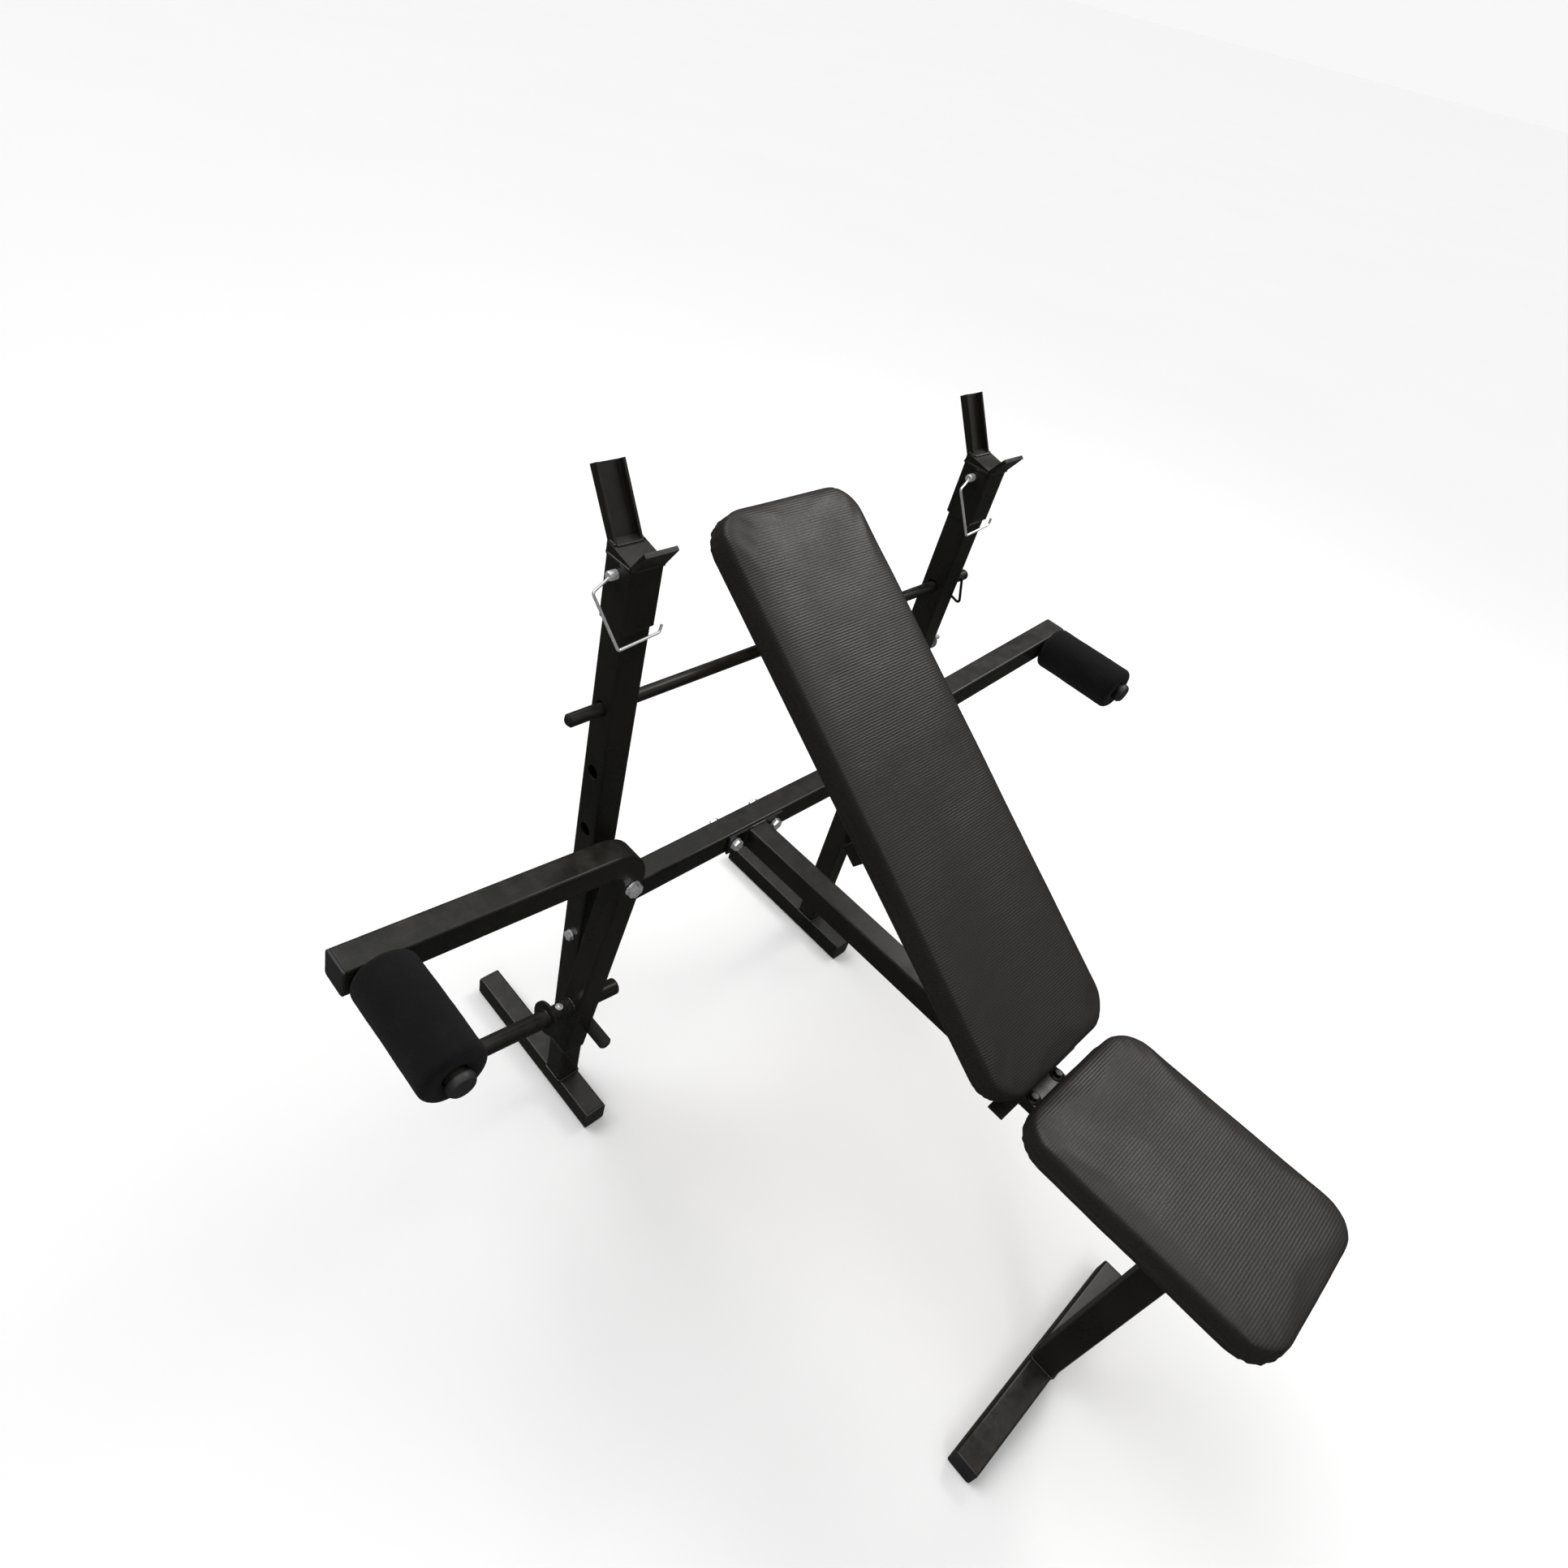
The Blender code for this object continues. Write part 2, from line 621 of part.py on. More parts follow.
def make_hinge_bracket():
    """Base plate on the main beam with a cross strap and two round-topped ears for the pivot bolt."""
    pivot = pivot_point()
    low = BEAM_Z + HALF + GAP
    base = box(at(-BRACKET_HALF_WIDTH, BRACKET_FRONT, low), at(BRACKET_HALF_WIDTH, BRACKET_REAR, low + PLATE))
    bracket = add_object("hinge_bracket", base, paint())
    strap = box(at(-STRAP_HALF_WIDTH, STRAP_FRONT, low), at(STRAP_HALF_WIDTH, STRAP_REAR, low + PLATE))
    weld(bracket, strap, "strap")
    for name, side in SIDES:
        inner = side * (HALF + EAR_CLEARANCE)
        drop = low + PLATE / 2 - pivot.z
        outline = [Vector((drop, -EAR_BASE)), Vector((drop, EAR_BASE))]
        for step in range(9):
            turn = math.pi / 2 - math.pi * step / 8
            outline.append(EAR_RADIUS * Vector((math.cos(turn), math.sin(turn))))
        start = Vector((min(inner, inner + side * PLATE), pivot.y, pivot.z))
        frames = [frame(start, (1, 0, 0), (0, 0, 1)), frame(start + Vector((PLATE, 0, 0)), (1, 0, 0), (0, 0, 1))]
        weld(bracket, swept(outline, frames), name)
    bore(bracket, [(pivot, (1, 0, 0), PIVOT_RADIUS + GAP, 0.09)])
    outer = HALF + EAR_CLEARANCE + PLATE
    bolt("hinge_bolt", pivot - Vector((outer, 0, 0)), (1, 0, 0), PIVOT_RADIUS, 2 * outer, HINGE_BOLT_HEAD)


# ---------------------------------------------------------------- support bar

def make_support_bar():
    """Loose round bar through the uprights, kept by a wire clip outside the right one."""
    axis = axis_empty("support_bar_axis", at(0, 0, bar_height()))
    reach = BAR_HALF_LENGTH
    bar = round_rod("support_bar", (-reach, 0, 0), (reach, 0, 0), BAR_RADIUS, paint(), axis, 0.003, FINE)
    clip_x = UPRIGHT_X + HALF + CLIP_GAP
    bore(bar, [((clip_x, 0, 0), (0, 0, 1), CLIP_RADIUS + 2 * GAP, 4 * BAR_RADIUS)], 12)
    drop = BAR_RADIUS + CLIP_RADIUS
    corners = [(clip_x, 0, drop + 0.004), (clip_x, 0, -drop - 0.011), (clip_x, -0.028, -drop - 0.017),
               (clip_x, -0.016, drop + 0.001)]
    points = rounded_path(corners, WIRE_BEND)
    clip = add_object("support_bar_clip", swept(circle_outline(CLIP_RADIUS, 8), path_frames(points, (1, 0, 0))),
                      paint(), parent=axis)
    smooth(clip, 50)


# ---------------------------------------------------------------- barbell holders and lock pins

def make_holder(name, side):
    """Sleeve over the upright, a saddle with a lip in front, and a channel leaning back behind it."""
    x = side * UPRIGHT_X
    run = [frame(at(x, 0, SLEEVE_LOW), (0, 0, 1), (1, 0, 0)),
           frame(at(x, 0, SADDLE_LOW + 0.002), (0, 0, 1), (1, 0, 0))]
    sleeve = swept(rounded_outline(SLEEVE, SLEEVE, 0.005), run,
                   rounded_outline(SLEEVE_BORE, SLEEVE_BORE, TUBE_CORNER))
    holder = add_object(name + "_holder", sleeve, paint())
    edge = SLEEVE / 2 - 0.0005
    saddle = [(-edge, 0), (-edge - 0.017, 0.026), (-edge - 0.013, 0.029), (-edge + 0.003, 0.0055),
              (edge, 0.014), (edge, 0)]
    outline = [Vector((y, SADDLE_LOW + rise)) for y, rise in saddle]
    reach = SLEEVE / 2 - 0.001
    frames = [Matrix.Translation(at(x - reach, 0, 0)) @ side_plane(),
              Matrix.Translation(at(x + reach, 0, 0)) @ side_plane()]
    weld(holder, swept(outline, frames), "saddle")
    lean = Vector((0, math.sin(GUARD_LEAN), math.cos(GUARD_LEAN)))
    base = at(x, 0.008, SADDLE_LOW + 0.006)
    guard = [frame(base, lean, (1, 0, 0)), frame(base + lean * GUARD_LENGTH, lean, (1, 0, 0))]
    weld(holder, swept(channel_outline(GUARD_WIDTH, GUARD_DEPTH, GUARD_WALL), guard), "guard")
    bore(holder, [(at(x, 0, PIN_Z), (1, 0, 0), PIN_RADIUS + 0.0005, 0.06)])


def channel_outline(width, depth, wall):
    """Three-sided channel open towards -Y, with its open edges on the X axis."""
    half = width / 2
    points = [(half, 0), (half, depth), (-half, depth), (-half, 0), (wall - half, 0), (wall - half, depth - wall),
              (half - wall, depth - wall), (half - wall, 0)]
    return [Vector(point) for point in points]


def side_plane():
    """Matrix that lays an outline drawn as (Y, Z) in the plane across X."""
    return Matrix(((0, 0, 1, 0), (1, 0, 0, 0), (0, 1, 0, 0), (0, 0, 0, 1)))


def make_lock_pin(name, side):
    """Round pin across the sleeve, with the wire that swings round the front below the sleeve."""
    x = side * UPRIGHT_X
    axis = axis_empty(name + "_lock_pin_axis", at(x, 0, PIN_Z))
    wall = SLEEVE / 2
    profile = [(0, -wall - 0.011), (PIN_HEAD - 0.001, -wall - 0.011), (PIN_HEAD, -wall - 0.009),
               (PIN_HEAD, -wall - GAP), (PIN_RADIUS, -wall - GAP), (PIN_RADIUS, wall + 0.006),
               (PIN_RADIUS - 0.0015, wall + 0.009), (0, wall + 0.009)]
    pin = add_object(name + "_lock_pin", turned(profile, 16), zinc(), frame((0, 0, 0), (1, 0, 0), (0, 0, 1)),
                     axis)
    wire_y = -wall - WIRE_RADIUS - 0.002
    wire_z = SLEEVE_LOW - PIN_Z - 0.006
    corners = [(-wall - 0.006, 0, 0), (-wall - 0.034, -0.008, -0.008),
               (-wall - 0.009, wire_y - 0.003, wire_z - 0.006), (wall + 0.003, wire_y, wire_z - 0.002),
               (wall + 0.007, wire_y + 0.002, wire_z + 0.006)]
    points = rounded_path(corners, WIRE_BEND)
    weld(pin, swept(circle_outline(WIRE_RADIUS, 8), path_frames(points, (0, 0, 1))), "wire")
    smooth(pin, 40)


# ---------------------------------------------------------------- fly levers, in pivot space

def lever_point(side, outward, up, y=0.0):
    return Vector((side * outward, y, up))


def leg_direction(side):
    return lever_point(side, math.sin(LEG_LEAN), -math.cos(LEG_LEAN))


def leg_outward(side):
    return lever_point(side, math.cos(LEG_LEAN), math.sin(LEG_LEAN))


def lever_corner(side):
    return -leg_direction(side) * LEVER_CORNER


def arm_direction(side):
    return lever_point(side, math.cos(ARM_RISE), math.sin(ARM_RISE))


def arm_point(side, outward):
    """Point on the arm's centre line at an outward distance from the pivot."""
    corner = lever_corner(side)
    run = (outward - side * corner.x) / math.cos(ARM_RISE)
    return corner + arm_direction(side) * run


def lever_pivot(side):
    return at(side * PIVOT_X, LEVER_Y, PIVOT_Z)


def make_lever(name, side):
    axis = axis_empty(name + "_lever_axis", lever_pivot(side))
    foot = leg_direction(side) * LEG_LENGTH
    tip = arm_point(side, ARM_REACH)
    points = rounded_path([foot, lever_corner(side), tip], LEVER_BEND, 10)
    frames = path_frames(points, (0, 1, 0))
    inner = TUBE - 2 * WALL
    lever = add_object(name + "_lever", swept(rounded_outline(TUBE, TUBE, TUBE_CORNER), frames,
                                              rounded_outline(inner, inner, TUBE_CORNER - WALL / 2)),
                       paint(), parent=axis)
    smooth(lever, 25)
    peg = leg_direction(side) * PEG_DROP
    bore(lever, [((0, 0, 0), (0, 1, 0), PIVOT_RADIUS + GAP, 0.06),
                 (peg, leg_outward(side), PEG_RADIUS + GAP, 0.06)])
    end_cap(name + "_lever_arm_cap", tip, arm_direction(side), (0, 1, 0), axis)
    end_cap(name + "_lever_leg_cap", foot, leg_direction(side), (0, 1, 0), axis)
    make_plate_peg(name, side, axis, peg)
    make_roller(name, side, axis)


def make_plate_peg(name, side, axis, middle):
    """Hollow peg for weight plates through the leg: open at the inner end, with a flange near the leg."""
    outward = leg_outward(side)
    start = middle - outward * PEG_INNER
    run = frame(start, outward, (0, 1, 0))
    length = PEG_INNER + PEG_OUTER
    flange = FLANGE_AT + PEG_INNER
    bore_radius = PEG_RADIUS - PEG_WALL
    profile = [(0, length - PEG_WALL), (bore_radius, length - PEG_WALL), (bore_radius, 0), (PEG_RADIUS, 0),
               (PEG_RADIUS, flange - PLATE / 2), (FLANGE_RADIUS, flange - PLATE / 2),
               (FLANGE_RADIUS, flange + PLATE / 2), (PEG_RADIUS, flange + PLATE / 2),
               (PEG_RADIUS, length - 0.003), (PEG_RADIUS - 0.003, length), (0, length)]
    smooth(add_object(name + "_plate_peg", turned(profile, FINE), paint(), run, axis))
    make_round_cap(name + "_plate_peg_cap", start, -outward, axis)


def make_round_cap(name, end, outward, axis, radius=PEG_RADIUS, reach=0.005):
    """Domed plastic plug in the end of a round tube."""
    plug = radius - PEG_WALL - GAP
    profile = [(0, -0.012), (plug, -0.012), (plug, GAP), (radius, GAP), (radius, reach * 0.45),
               (radius * 0.72, reach * 0.86), (0, reach)]
    smooth(add_object(name, turned(profile, ROUND), plastic(), frame(end, outward, (0, 0, 1)), axis))


def make_roller(name, side, axis):
    """Tube on the arm's front face, the foam roller that turns on it, and the plug that keeps it."""
    centre = arm_point(side, ROLLER_REACH)
    front = -HALF - GAP
    clear = 0.002
    foam_start = front - clear
    foam_end = foam_start - ROLLER_LENGTH
    tube_end = foam_end - 0.004
    wall = 0.0015
    run = frame(centre + Vector((0, front, 0)), (0, -1, 0), (0, 0, 1))
    length = front - tube_end
    profile = [(ROLLER_TUBE - wall, 0), (ROLLER_TUBE, 0), (ROLLER_TUBE, length), (ROLLER_TUBE - wall, length)]
    smooth(add_object(name + "_roller_tube", turned(profile, ROUND, ring=True), paint(), run, axis))
    plug = ROLLER_TUBE - wall - GAP
    profile = [(0, -0.015), (plug, -0.015), (plug, GAP), (0.016, GAP), (0.016, 0.005), (0.013, 0.009), (0, 0.010)]
    placed = frame(centre + Vector((0, tube_end, 0)), (0, -1, 0), (0, 0, 1))
    smooth(add_object(name + "_roller_plug", turned(profile, ROUND), plastic(), placed, axis))
    bore_radius = ROLLER_TUBE + 0.0005
    edge = 0.008
    profile = [(bore_radius, 0), (ROLLER_RADIUS - edge, 0), (ROLLER_RADIUS - 0.0025, 0.0025),
               (ROLLER_RADIUS, edge), (ROLLER_RADIUS, ROLLER_LENGTH - edge),
               (ROLLER_RADIUS - 0.0025, ROLLER_LENGTH - 0.0025), (ROLLER_RADIUS - edge, ROLLER_LENGTH),
               (bore_radius, ROLLER_LENGTH)]
    placed = frame(centre + Vector((0, foam_start, 0)), (0, -1, 0), (0, 0, 1))
    smooth(add_object(name + "_foam_roller", turned(profile, FINE, ring=True), foam(), placed, axis), 50)


def make_lever_mount(name, side):
    """Pivot bolt through lever and upright, the bush between them, and the peg that stops the leg."""
    rear_of_lever = LEVER_Y + HALF
    front_of_upright = -HALF
    length = front_of_upright - rear_of_lever - 2 * GAP
    bore_radius = PIVOT_RADIUS + GAP
    profile = [(bore_radius, 0), (BUSH_RADIUS, 0), (BUSH_RADIUS, length), (bore_radius, length)]
    placed = frame(at(side * PIVOT_X, front_of_upright - GAP, PIVOT_Z), (0, -1, 0), (0, 0, 1))
    smooth(add_object(name + "_pivot_bush", turned(profile, ROUND, ring=True), zinc(), placed))
    front = LEVER_Y - HALF
    bolt(name + "_pivot_bolt", at(side * PIVOT_X, front, PIVOT_Z), (0, 1, 0), PIVOT_RADIUS, HALF - front,
         LEVER_BOLT_HEAD)
    touch = leg_direction(side) * STOP_DROP - leg_outward(side) * (HALF + STOP_RADIUS + GAP)
    stop = at(side * PIVOT_X, front_of_upright - GAP, PIVOT_Z) + touch
    round_rod(name + "_lever_stop", stop, stop - Vector((0, STOP_LENGTH, 0)), STOP_RADIUS, rubber(), edge=0.003)


def main():
    clear_scene()
    for name, side in SIDES:
        make_side_foot(name, side)
        make_upright(name, side)
        make_beam_bolts(name, side)
        make_joint_bolt(name, side)
        make_holder(name, side)
        make_lock_pin(name, side)
        make_lever(name, side)
        make_lever_mount(name, side)
    make_cross_beam()
    make_main_beam()
    make_front_support()
    make_hinge_bracket()
    make_seat()
    make_backrest()
    make_support_bar()


main()
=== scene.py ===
"""Looks of the adjustable weight bench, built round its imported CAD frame. Metres, +Z up."""
import json
import math
import random

import bmesh
import bpy
from mathutils import Matrix, Vector, noise


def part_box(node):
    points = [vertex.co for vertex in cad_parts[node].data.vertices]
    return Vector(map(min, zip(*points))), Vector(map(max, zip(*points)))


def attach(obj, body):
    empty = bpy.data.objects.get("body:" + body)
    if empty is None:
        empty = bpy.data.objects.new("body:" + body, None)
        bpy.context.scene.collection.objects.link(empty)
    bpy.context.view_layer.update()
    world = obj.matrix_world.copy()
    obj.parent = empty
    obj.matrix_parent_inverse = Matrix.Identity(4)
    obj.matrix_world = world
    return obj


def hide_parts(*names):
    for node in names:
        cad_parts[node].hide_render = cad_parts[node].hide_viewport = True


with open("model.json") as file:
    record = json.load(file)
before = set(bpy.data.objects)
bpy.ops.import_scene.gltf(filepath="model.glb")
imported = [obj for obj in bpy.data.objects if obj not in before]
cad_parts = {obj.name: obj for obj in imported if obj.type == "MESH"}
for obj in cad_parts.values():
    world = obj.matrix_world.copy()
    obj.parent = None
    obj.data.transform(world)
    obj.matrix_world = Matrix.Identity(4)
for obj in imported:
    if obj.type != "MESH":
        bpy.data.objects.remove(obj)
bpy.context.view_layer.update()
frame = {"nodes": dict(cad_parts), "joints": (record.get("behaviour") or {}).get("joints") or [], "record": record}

random.seed(11)

# ---------------------------------------------------------------- measures

TUBE = 0.038
HALF = TUBE / 2
GAP = 0.0003
PLATE = 0.004
RECLINE = math.radians(33.7)
LEG_LEAN = math.radians(9.7)
EAR_CLEARANCE = 0.0015           # between the backrest's rail and the hinge bracket's ears
PEG_DROP = 0.2464                # from a lever's pivot down its leg to the plate peg
SADDLE_SEAM = 1.0035             # height of the seam between a holder's sleeve and its saddle
PAD_WIDTH = 0.250
PAD_THICK = 0.045
PAD_CORNER = 0.048
BACK_LENGTH = 0.788
PIVOT_ALONG = 0.043
WINGS = ((0.050, 0.080), (0.305, 0.112), (0.615, 0.080))  # cross members: place, reach
SIDES = (("left", -1), ("right", 1))

BEAD_STEP = 0.0011               # weld beads: spacing of rings, pitch of ripples, sides
BEAD_PITCH = 0.0032
BEAD_SIDES = 8

SIM_FRAMES = 20                  # cushions: cloth sim, then the vinyl's own unevenness
SIM_PRESSURE = 4.0
SIM_STIFFNESS = 18.0
PAD_SWELL = 0.0025
PAD_CROWN = 0.0020
PLEAT_DEPTH = 0.0011
FOLD_PITCH = 0.0095
FOLD_DEPTH = 0.00055
STAPLE_REACH = 0.0048            # half a staple's length and half its wire's width
STAPLE_WIRE = 0.00035

BACKDROP = 0.9387                # light of the white backdrop, and of the room below and above
ROOM_LOW = 0.05
ROOM_HIGH = 0.30


def middle(node):
    low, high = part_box(node)
    return (low + high) / 2


def joint(name):
    return next(j for j in frame["joints"] if j["name"] == name)


UPRIGHT_X = middle("right_upright").x
UPRIGHT_Y = middle("right_upright").y
BEAM_Z = middle("main_beam").z
PIVOT = Vector(joint("backrest_recline")["pos_m"])


# ---------------------------------------------------------------- node materials

class Graph:
    """A Principled material with short calls for the nodes it is made of."""

    def __init__(self, name, roughness=0.5, metallic=0.0, **sockets):
        self.material = bpy.data.materials.new(name)
        self.material.use_nodes = True
        self.tree = self.material.node_tree
        self.shader = self.tree.nodes["Principled BSDF"]
        self.shader.inputs["Roughness"].default_value = roughness
        self.shader.inputs["Metallic"].default_value = metallic
        for socket, value in sockets.items():
            self.shader.inputs[socket.replace("_", " ")].default_value = value
        self.place = self.node("ShaderNodeTexCoord").outputs["Object"]

    def node(self, kind, **settings):
        made = self.tree.nodes.new(kind)
        for key, value in settings.items():
            setattr(made, key, value)
        return made

    def put(self, value, socket):
        if hasattr(value, "links"):
            self.tree.links.new(value, socket)
        else:
            socket.default_value = value

    def scaled(self, x, y, z, place=None):
        mapping = self.node("ShaderNodeMapping")
        self.put(place or self.place, mapping.inputs["Vector"])
        mapping.inputs["Scale"].default_value = (x, y, z)
        return mapping.outputs["Vector"]

    def noise(self, scale, detail=2.0, rough=0.5, place=None, distortion=0.0):
        made = self.node("ShaderNodeTexNoise")
        self.put(place or self.place, made.inputs["Vector"])
        made.inputs["Scale"].default_value = scale
        made.inputs["Detail"].default_value = detail
        made.inputs["Roughness"].default_value = rough
        made.inputs["Distortion"].default_value = distortion
        return made.outputs["Fac"]

    def cells(self, scale, feature="F1", place=None, randomness=1.0):
        made = self.node("ShaderNodeTexVoronoi", feature=feature)
        self.put(place or self.place, made.inputs["Vector"])
        made.inputs["Scale"].default_value = scale
        made.inputs["Randomness"].default_value = randomness
        return made.outputs["Distance"]

    def bands(self, scale, direction, distortion=1.0, detail=2.0, detail_scale=1.0, place=None):
        made = self.node("ShaderNodeTexWave", wave_type="BANDS", bands_direction=direction)
        self.put(place or self.place, made.inputs["Vector"])
        made.inputs["Scale"].default_value = scale
        made.inputs["Distortion"].default_value = distortion
        made.inputs["Detail"].default_value = detail
        made.inputs["Detail Scale"].default_value = detail_scale
        return made.outputs["Fac"]

    def span(self, value, low, high, to_low=0.0, to_high=1.0):
        made = self.node("ShaderNodeMapRange")
        self.put(value, made.inputs["Value"])
        limits = {"From Min": low, "From Max": high, "To Min": to_low, "To Max": to_high}
        for key, number in limits.items():
            made.inputs[key].default_value = number
        return made.outputs["Result"]

    def math(self, operation, first, second=0.0):
        made = self.node("ShaderNodeMath", operation=operation)
        self.put(first, made.inputs[0])
        self.put(second, made.inputs[1])
        return made.outputs[0]

    def mixed(self, factor, first, second):
        made = self.node("ShaderNodeMix", data_type="RGBA")
        self.put(factor, made.inputs["Factor"])
        for socket, value in (("A", first), ("B", second)):
            target = next(i for i in made.inputs if i.name == socket and i.type == "RGBA")
            self.put((*value, 1.0) if isinstance(value, tuple) else value, target)
        return next(o for o in made.outputs if o.type == "RGBA")

    def bump(self, height, strength, distance, after=None):
        made = self.node("ShaderNodeBump")
        made.inputs["Strength"].default_value = strength
        made.inputs["Distance"].default_value = distance
        self.put(height, made.inputs["Height"])
        if after:
            self.put(after, made.inputs["Normal"])
        return made.outputs["Normal"]

    def edges(self, radius, low=0.80, high=0.985):
        """1 near convex and concave edges, 0 on flat faces."""
        bevel = self.node("ShaderNodeBevel", samples=4)
        bevel.inputs["Radius"].default_value = radius
        dot = self.node("ShaderNodeVectorMath", operation="DOT_PRODUCT")
        self.put(bevel.outputs["Normal"], dot.inputs[0])
        self.put(self.node("ShaderNodeNewGeometry").outputs["Normal"], dot.inputs[1])
        return self.span(dot.outputs["Value"], high, low)

    def upward(self):
        """1 on faces that look up, 0 on the others."""
        split = self.node("ShaderNodeSeparateXYZ")
        self.put(self.node("ShaderNodeNewGeometry").outputs["Normal"], split.inputs[0])
        return self.span(split.outputs["Z"], 0.3, 0.95)

    def finish(self, colour=None, roughness=None, normal=None):
        for value, socket in ((colour, "Base Color"), (roughness, "Roughness"), (normal, "Normal")):
            if value is not None:
                self.put(value, self.shader.inputs[socket])
        return self.material


def paint_material():
    """Semi-gloss black powder coat: faint orange peel, rubbed edges, a little dust on top."""
    g = Graph("black_powder_coat", Specular_IOR_Level=0.32)
    cloud = g.noise(7.0, 4.0, 0.6)
    colour = g.mixed(g.span(cloud, 0.35, 0.7), (0.0070, 0.0070, 0.0064), (0.0135, 0.0125, 0.0095))
    specks = g.span(g.noise(38.0, 5.0, 0.7), 0.42, 0.75)
    dust = g.math("MULTIPLY", g.math("MULTIPLY", g.upward(), specks), 0.16)
    colour = g.mixed(dust, colour, (0.125, 0.115, 0.095))
    rubbed = g.math("MULTIPLY", g.edges(0.0016), g.span(g.noise(60.0, 6.0, 0.75), 0.46, 0.66))
    rubbed = g.math("MULTIPLY", rubbed, 0.45)
    colour = g.mixed(rubbed, colour, (0.13, 0.125, 0.112))
    scuffs = g.span(g.noise(24.0, 6.0, 0.7, g.scaled(1.0, 1.0, 5.0)), 0.60, 0.80)
    rough = g.math("ADD", g.span(cloud, 0.3, 0.7, 0.23, 0.33), g.math("MULTIPLY", scuffs, 0.14))
    rough = g.math("ADD", rough, g.math("MULTIPLY", dust, 0.8))
    peel = g.bump(g.noise(620.0, 1.0), 0.10, 0.0005)
    return g.finish(colour, rough, peel)


def vinyl_material():
    """Black vinyl: fine grain with painted shade in its pits, faint ribs across the pad, rubbed a little lighter
    in places.
    """
    g = Graph("black_grained_vinyl", Specular_IOR_Level=0.38)
    warp = g.noise(300.0, 2.0)
    cells = g.cells(820.0, "SMOOTH_F1", g.place)
    pores = g.span(cells, 0.15, 0.75)
    ribs = g.bands(90.0, "Y", 1.4, 3.0, 2.0)
    patch = g.span(g.noise(9.0, 3.0), 0.35, 0.70)
    ribs = g.math("MULTIPLY", ribs, g.math("ADD", g.math("MULTIPLY", patch, 0.7), 0.3))
    worn = g.span(g.noise(5.0, 4.0, 0.6), 0.3, 0.7)
    colour = g.mixed(worn, (0.0145, 0.0122, 0.0112), (0.0200, 0.0168, 0.0152))
    # painted shade: the grain's pits are darkened where its bump sinks lowest
    pit_shade = g.math("MULTIPLY", g.span(pores, 0.0, 0.5, 1.0, 0.0), 0.35)
    colour = g.mixed(pit_shade, colour, (0.007, 0.0065, 0.0065))
    rough = g.math("ADD", g.span(g.noise(16.0, 4.0), 0.3, 0.7, 0.36, 0.46), g.math("MULTIPLY", warp, 0.08))
    grain = g.bump(pores, 0.20, 0.0005)
    ribbed = g.bump(ribs, 0.34, 0.0010, grain)
    loose = g.bump(g.noise(22.0, 2.0, 0.5, g.scaled(0.6, 1.6, 1.0)), 0.13, 0.0040, ribbed)
    return g.finish(colour, rough, loose)


def hem_material():
    """The cloth-backed turned edge of the vinyl."""
    g = Graph("vinyl_turned_edge", 0.7)
    weave = g.math("MULTIPLY", g.bands(260.0, "X", 0.4), g.bands(260.0, "Y", 0.4))
    colour = g.mixed(g.span(g.noise(30.0, 4.0), 0.3, 0.7), (0.022, 0.021, 0.021), (0.040, 0.039, 0.038))
    return g.finish(colour, g.span(weave, 0.0, 1.0, 0.62, 0.8), g.bump(weave, 0.35, 0.0005))


def foam_material():
    """Closed-cell foam: dead matt, with tiny cells and a few scuffs."""
    g = Graph("closed_cell_foam", 0.95, Specular_IOR_Level=0.15, Sheen_Weight=0.02, Sheen_Roughness=0.6)
    cells = g.cells(950.0)
    fine = g.noise(2200.0, 2.0)
    scuff = g.span(g.noise(45.0, 6.0, 0.72), 0.55, 0.78)
    colour = g.mixed(g.span(g.noise(18.0, 4.0), 0.3, 0.7), (0.0030, 0.0030, 0.0031), (0.0052, 0.0052, 0.0053))
    colour = g.mixed(g.math("MULTIPLY", scuff, 0.35), colour, (0.016, 0.0155, 0.015))
    skin = g.bump(cells, 0.55, 0.0007)
    return g.finish(colour, g.span(fine, 0.3, 0.7, 0.86, 0.98), g.bump(fine, 0.25, 0.0003, skin))


def metal_material(name, tint, smoothness, tarnish):
    g = Graph(name, smoothness, 0.6)
    cloud = g.noise(140.0, 4.0, 0.6)
    grime = g.math("MULTIPLY", g.span(g.noise(90.0, 5.0, 0.7), 0.52, 0.75), tarnish)
    light = tuple(min(1.0, c * 1.08) for c in tint)
    colour = g.mixed(g.span(cloud, 0.3, 0.7), tint, light)
    colour = g.mixed(grime, colour, (0.20, 0.17, 0.12))
    rough = g.math("ADD", g.span(cloud, 0.3, 0.7, smoothness - 0.06, smoothness + 0.08),
                   g.math("MULTIPLY", grime, 0.35))
    lines = g.noise(900.0, 2.0, 0.6, g.scaled(1.0, 0.12, 1.0))
    return g.finish(colour, rough, g.bump(lines, 0.12, 0.0002))


def cap_material():
    """Moulded plastic with a fine spark-eroded texture."""
    g = Graph("moulded_plastic_cap", 0.5)
    colour = g.mixed(g.span(g.noise(40.0, 3.0), 0.3, 0.7), (0.0135, 0.0135, 0.0140), (0.022, 0.022, 0.022))
    whitened = g.math("MULTIPLY", g.edges(0.0010), g.span(g.noise(120.0, 5.0), 0.5, 0.7))
    colour = g.mixed(g.math("MULTIPLY", whitened, 0.4), colour, (0.10, 0.10, 0.10))
    rough = g.span(g.noise(200.0, 2.0), 0.3, 0.7, 0.42, 0.56)
    return g.finish(colour, rough, g.bump(g.noise(1400.0, 2.0), 0.20, 0.0003))


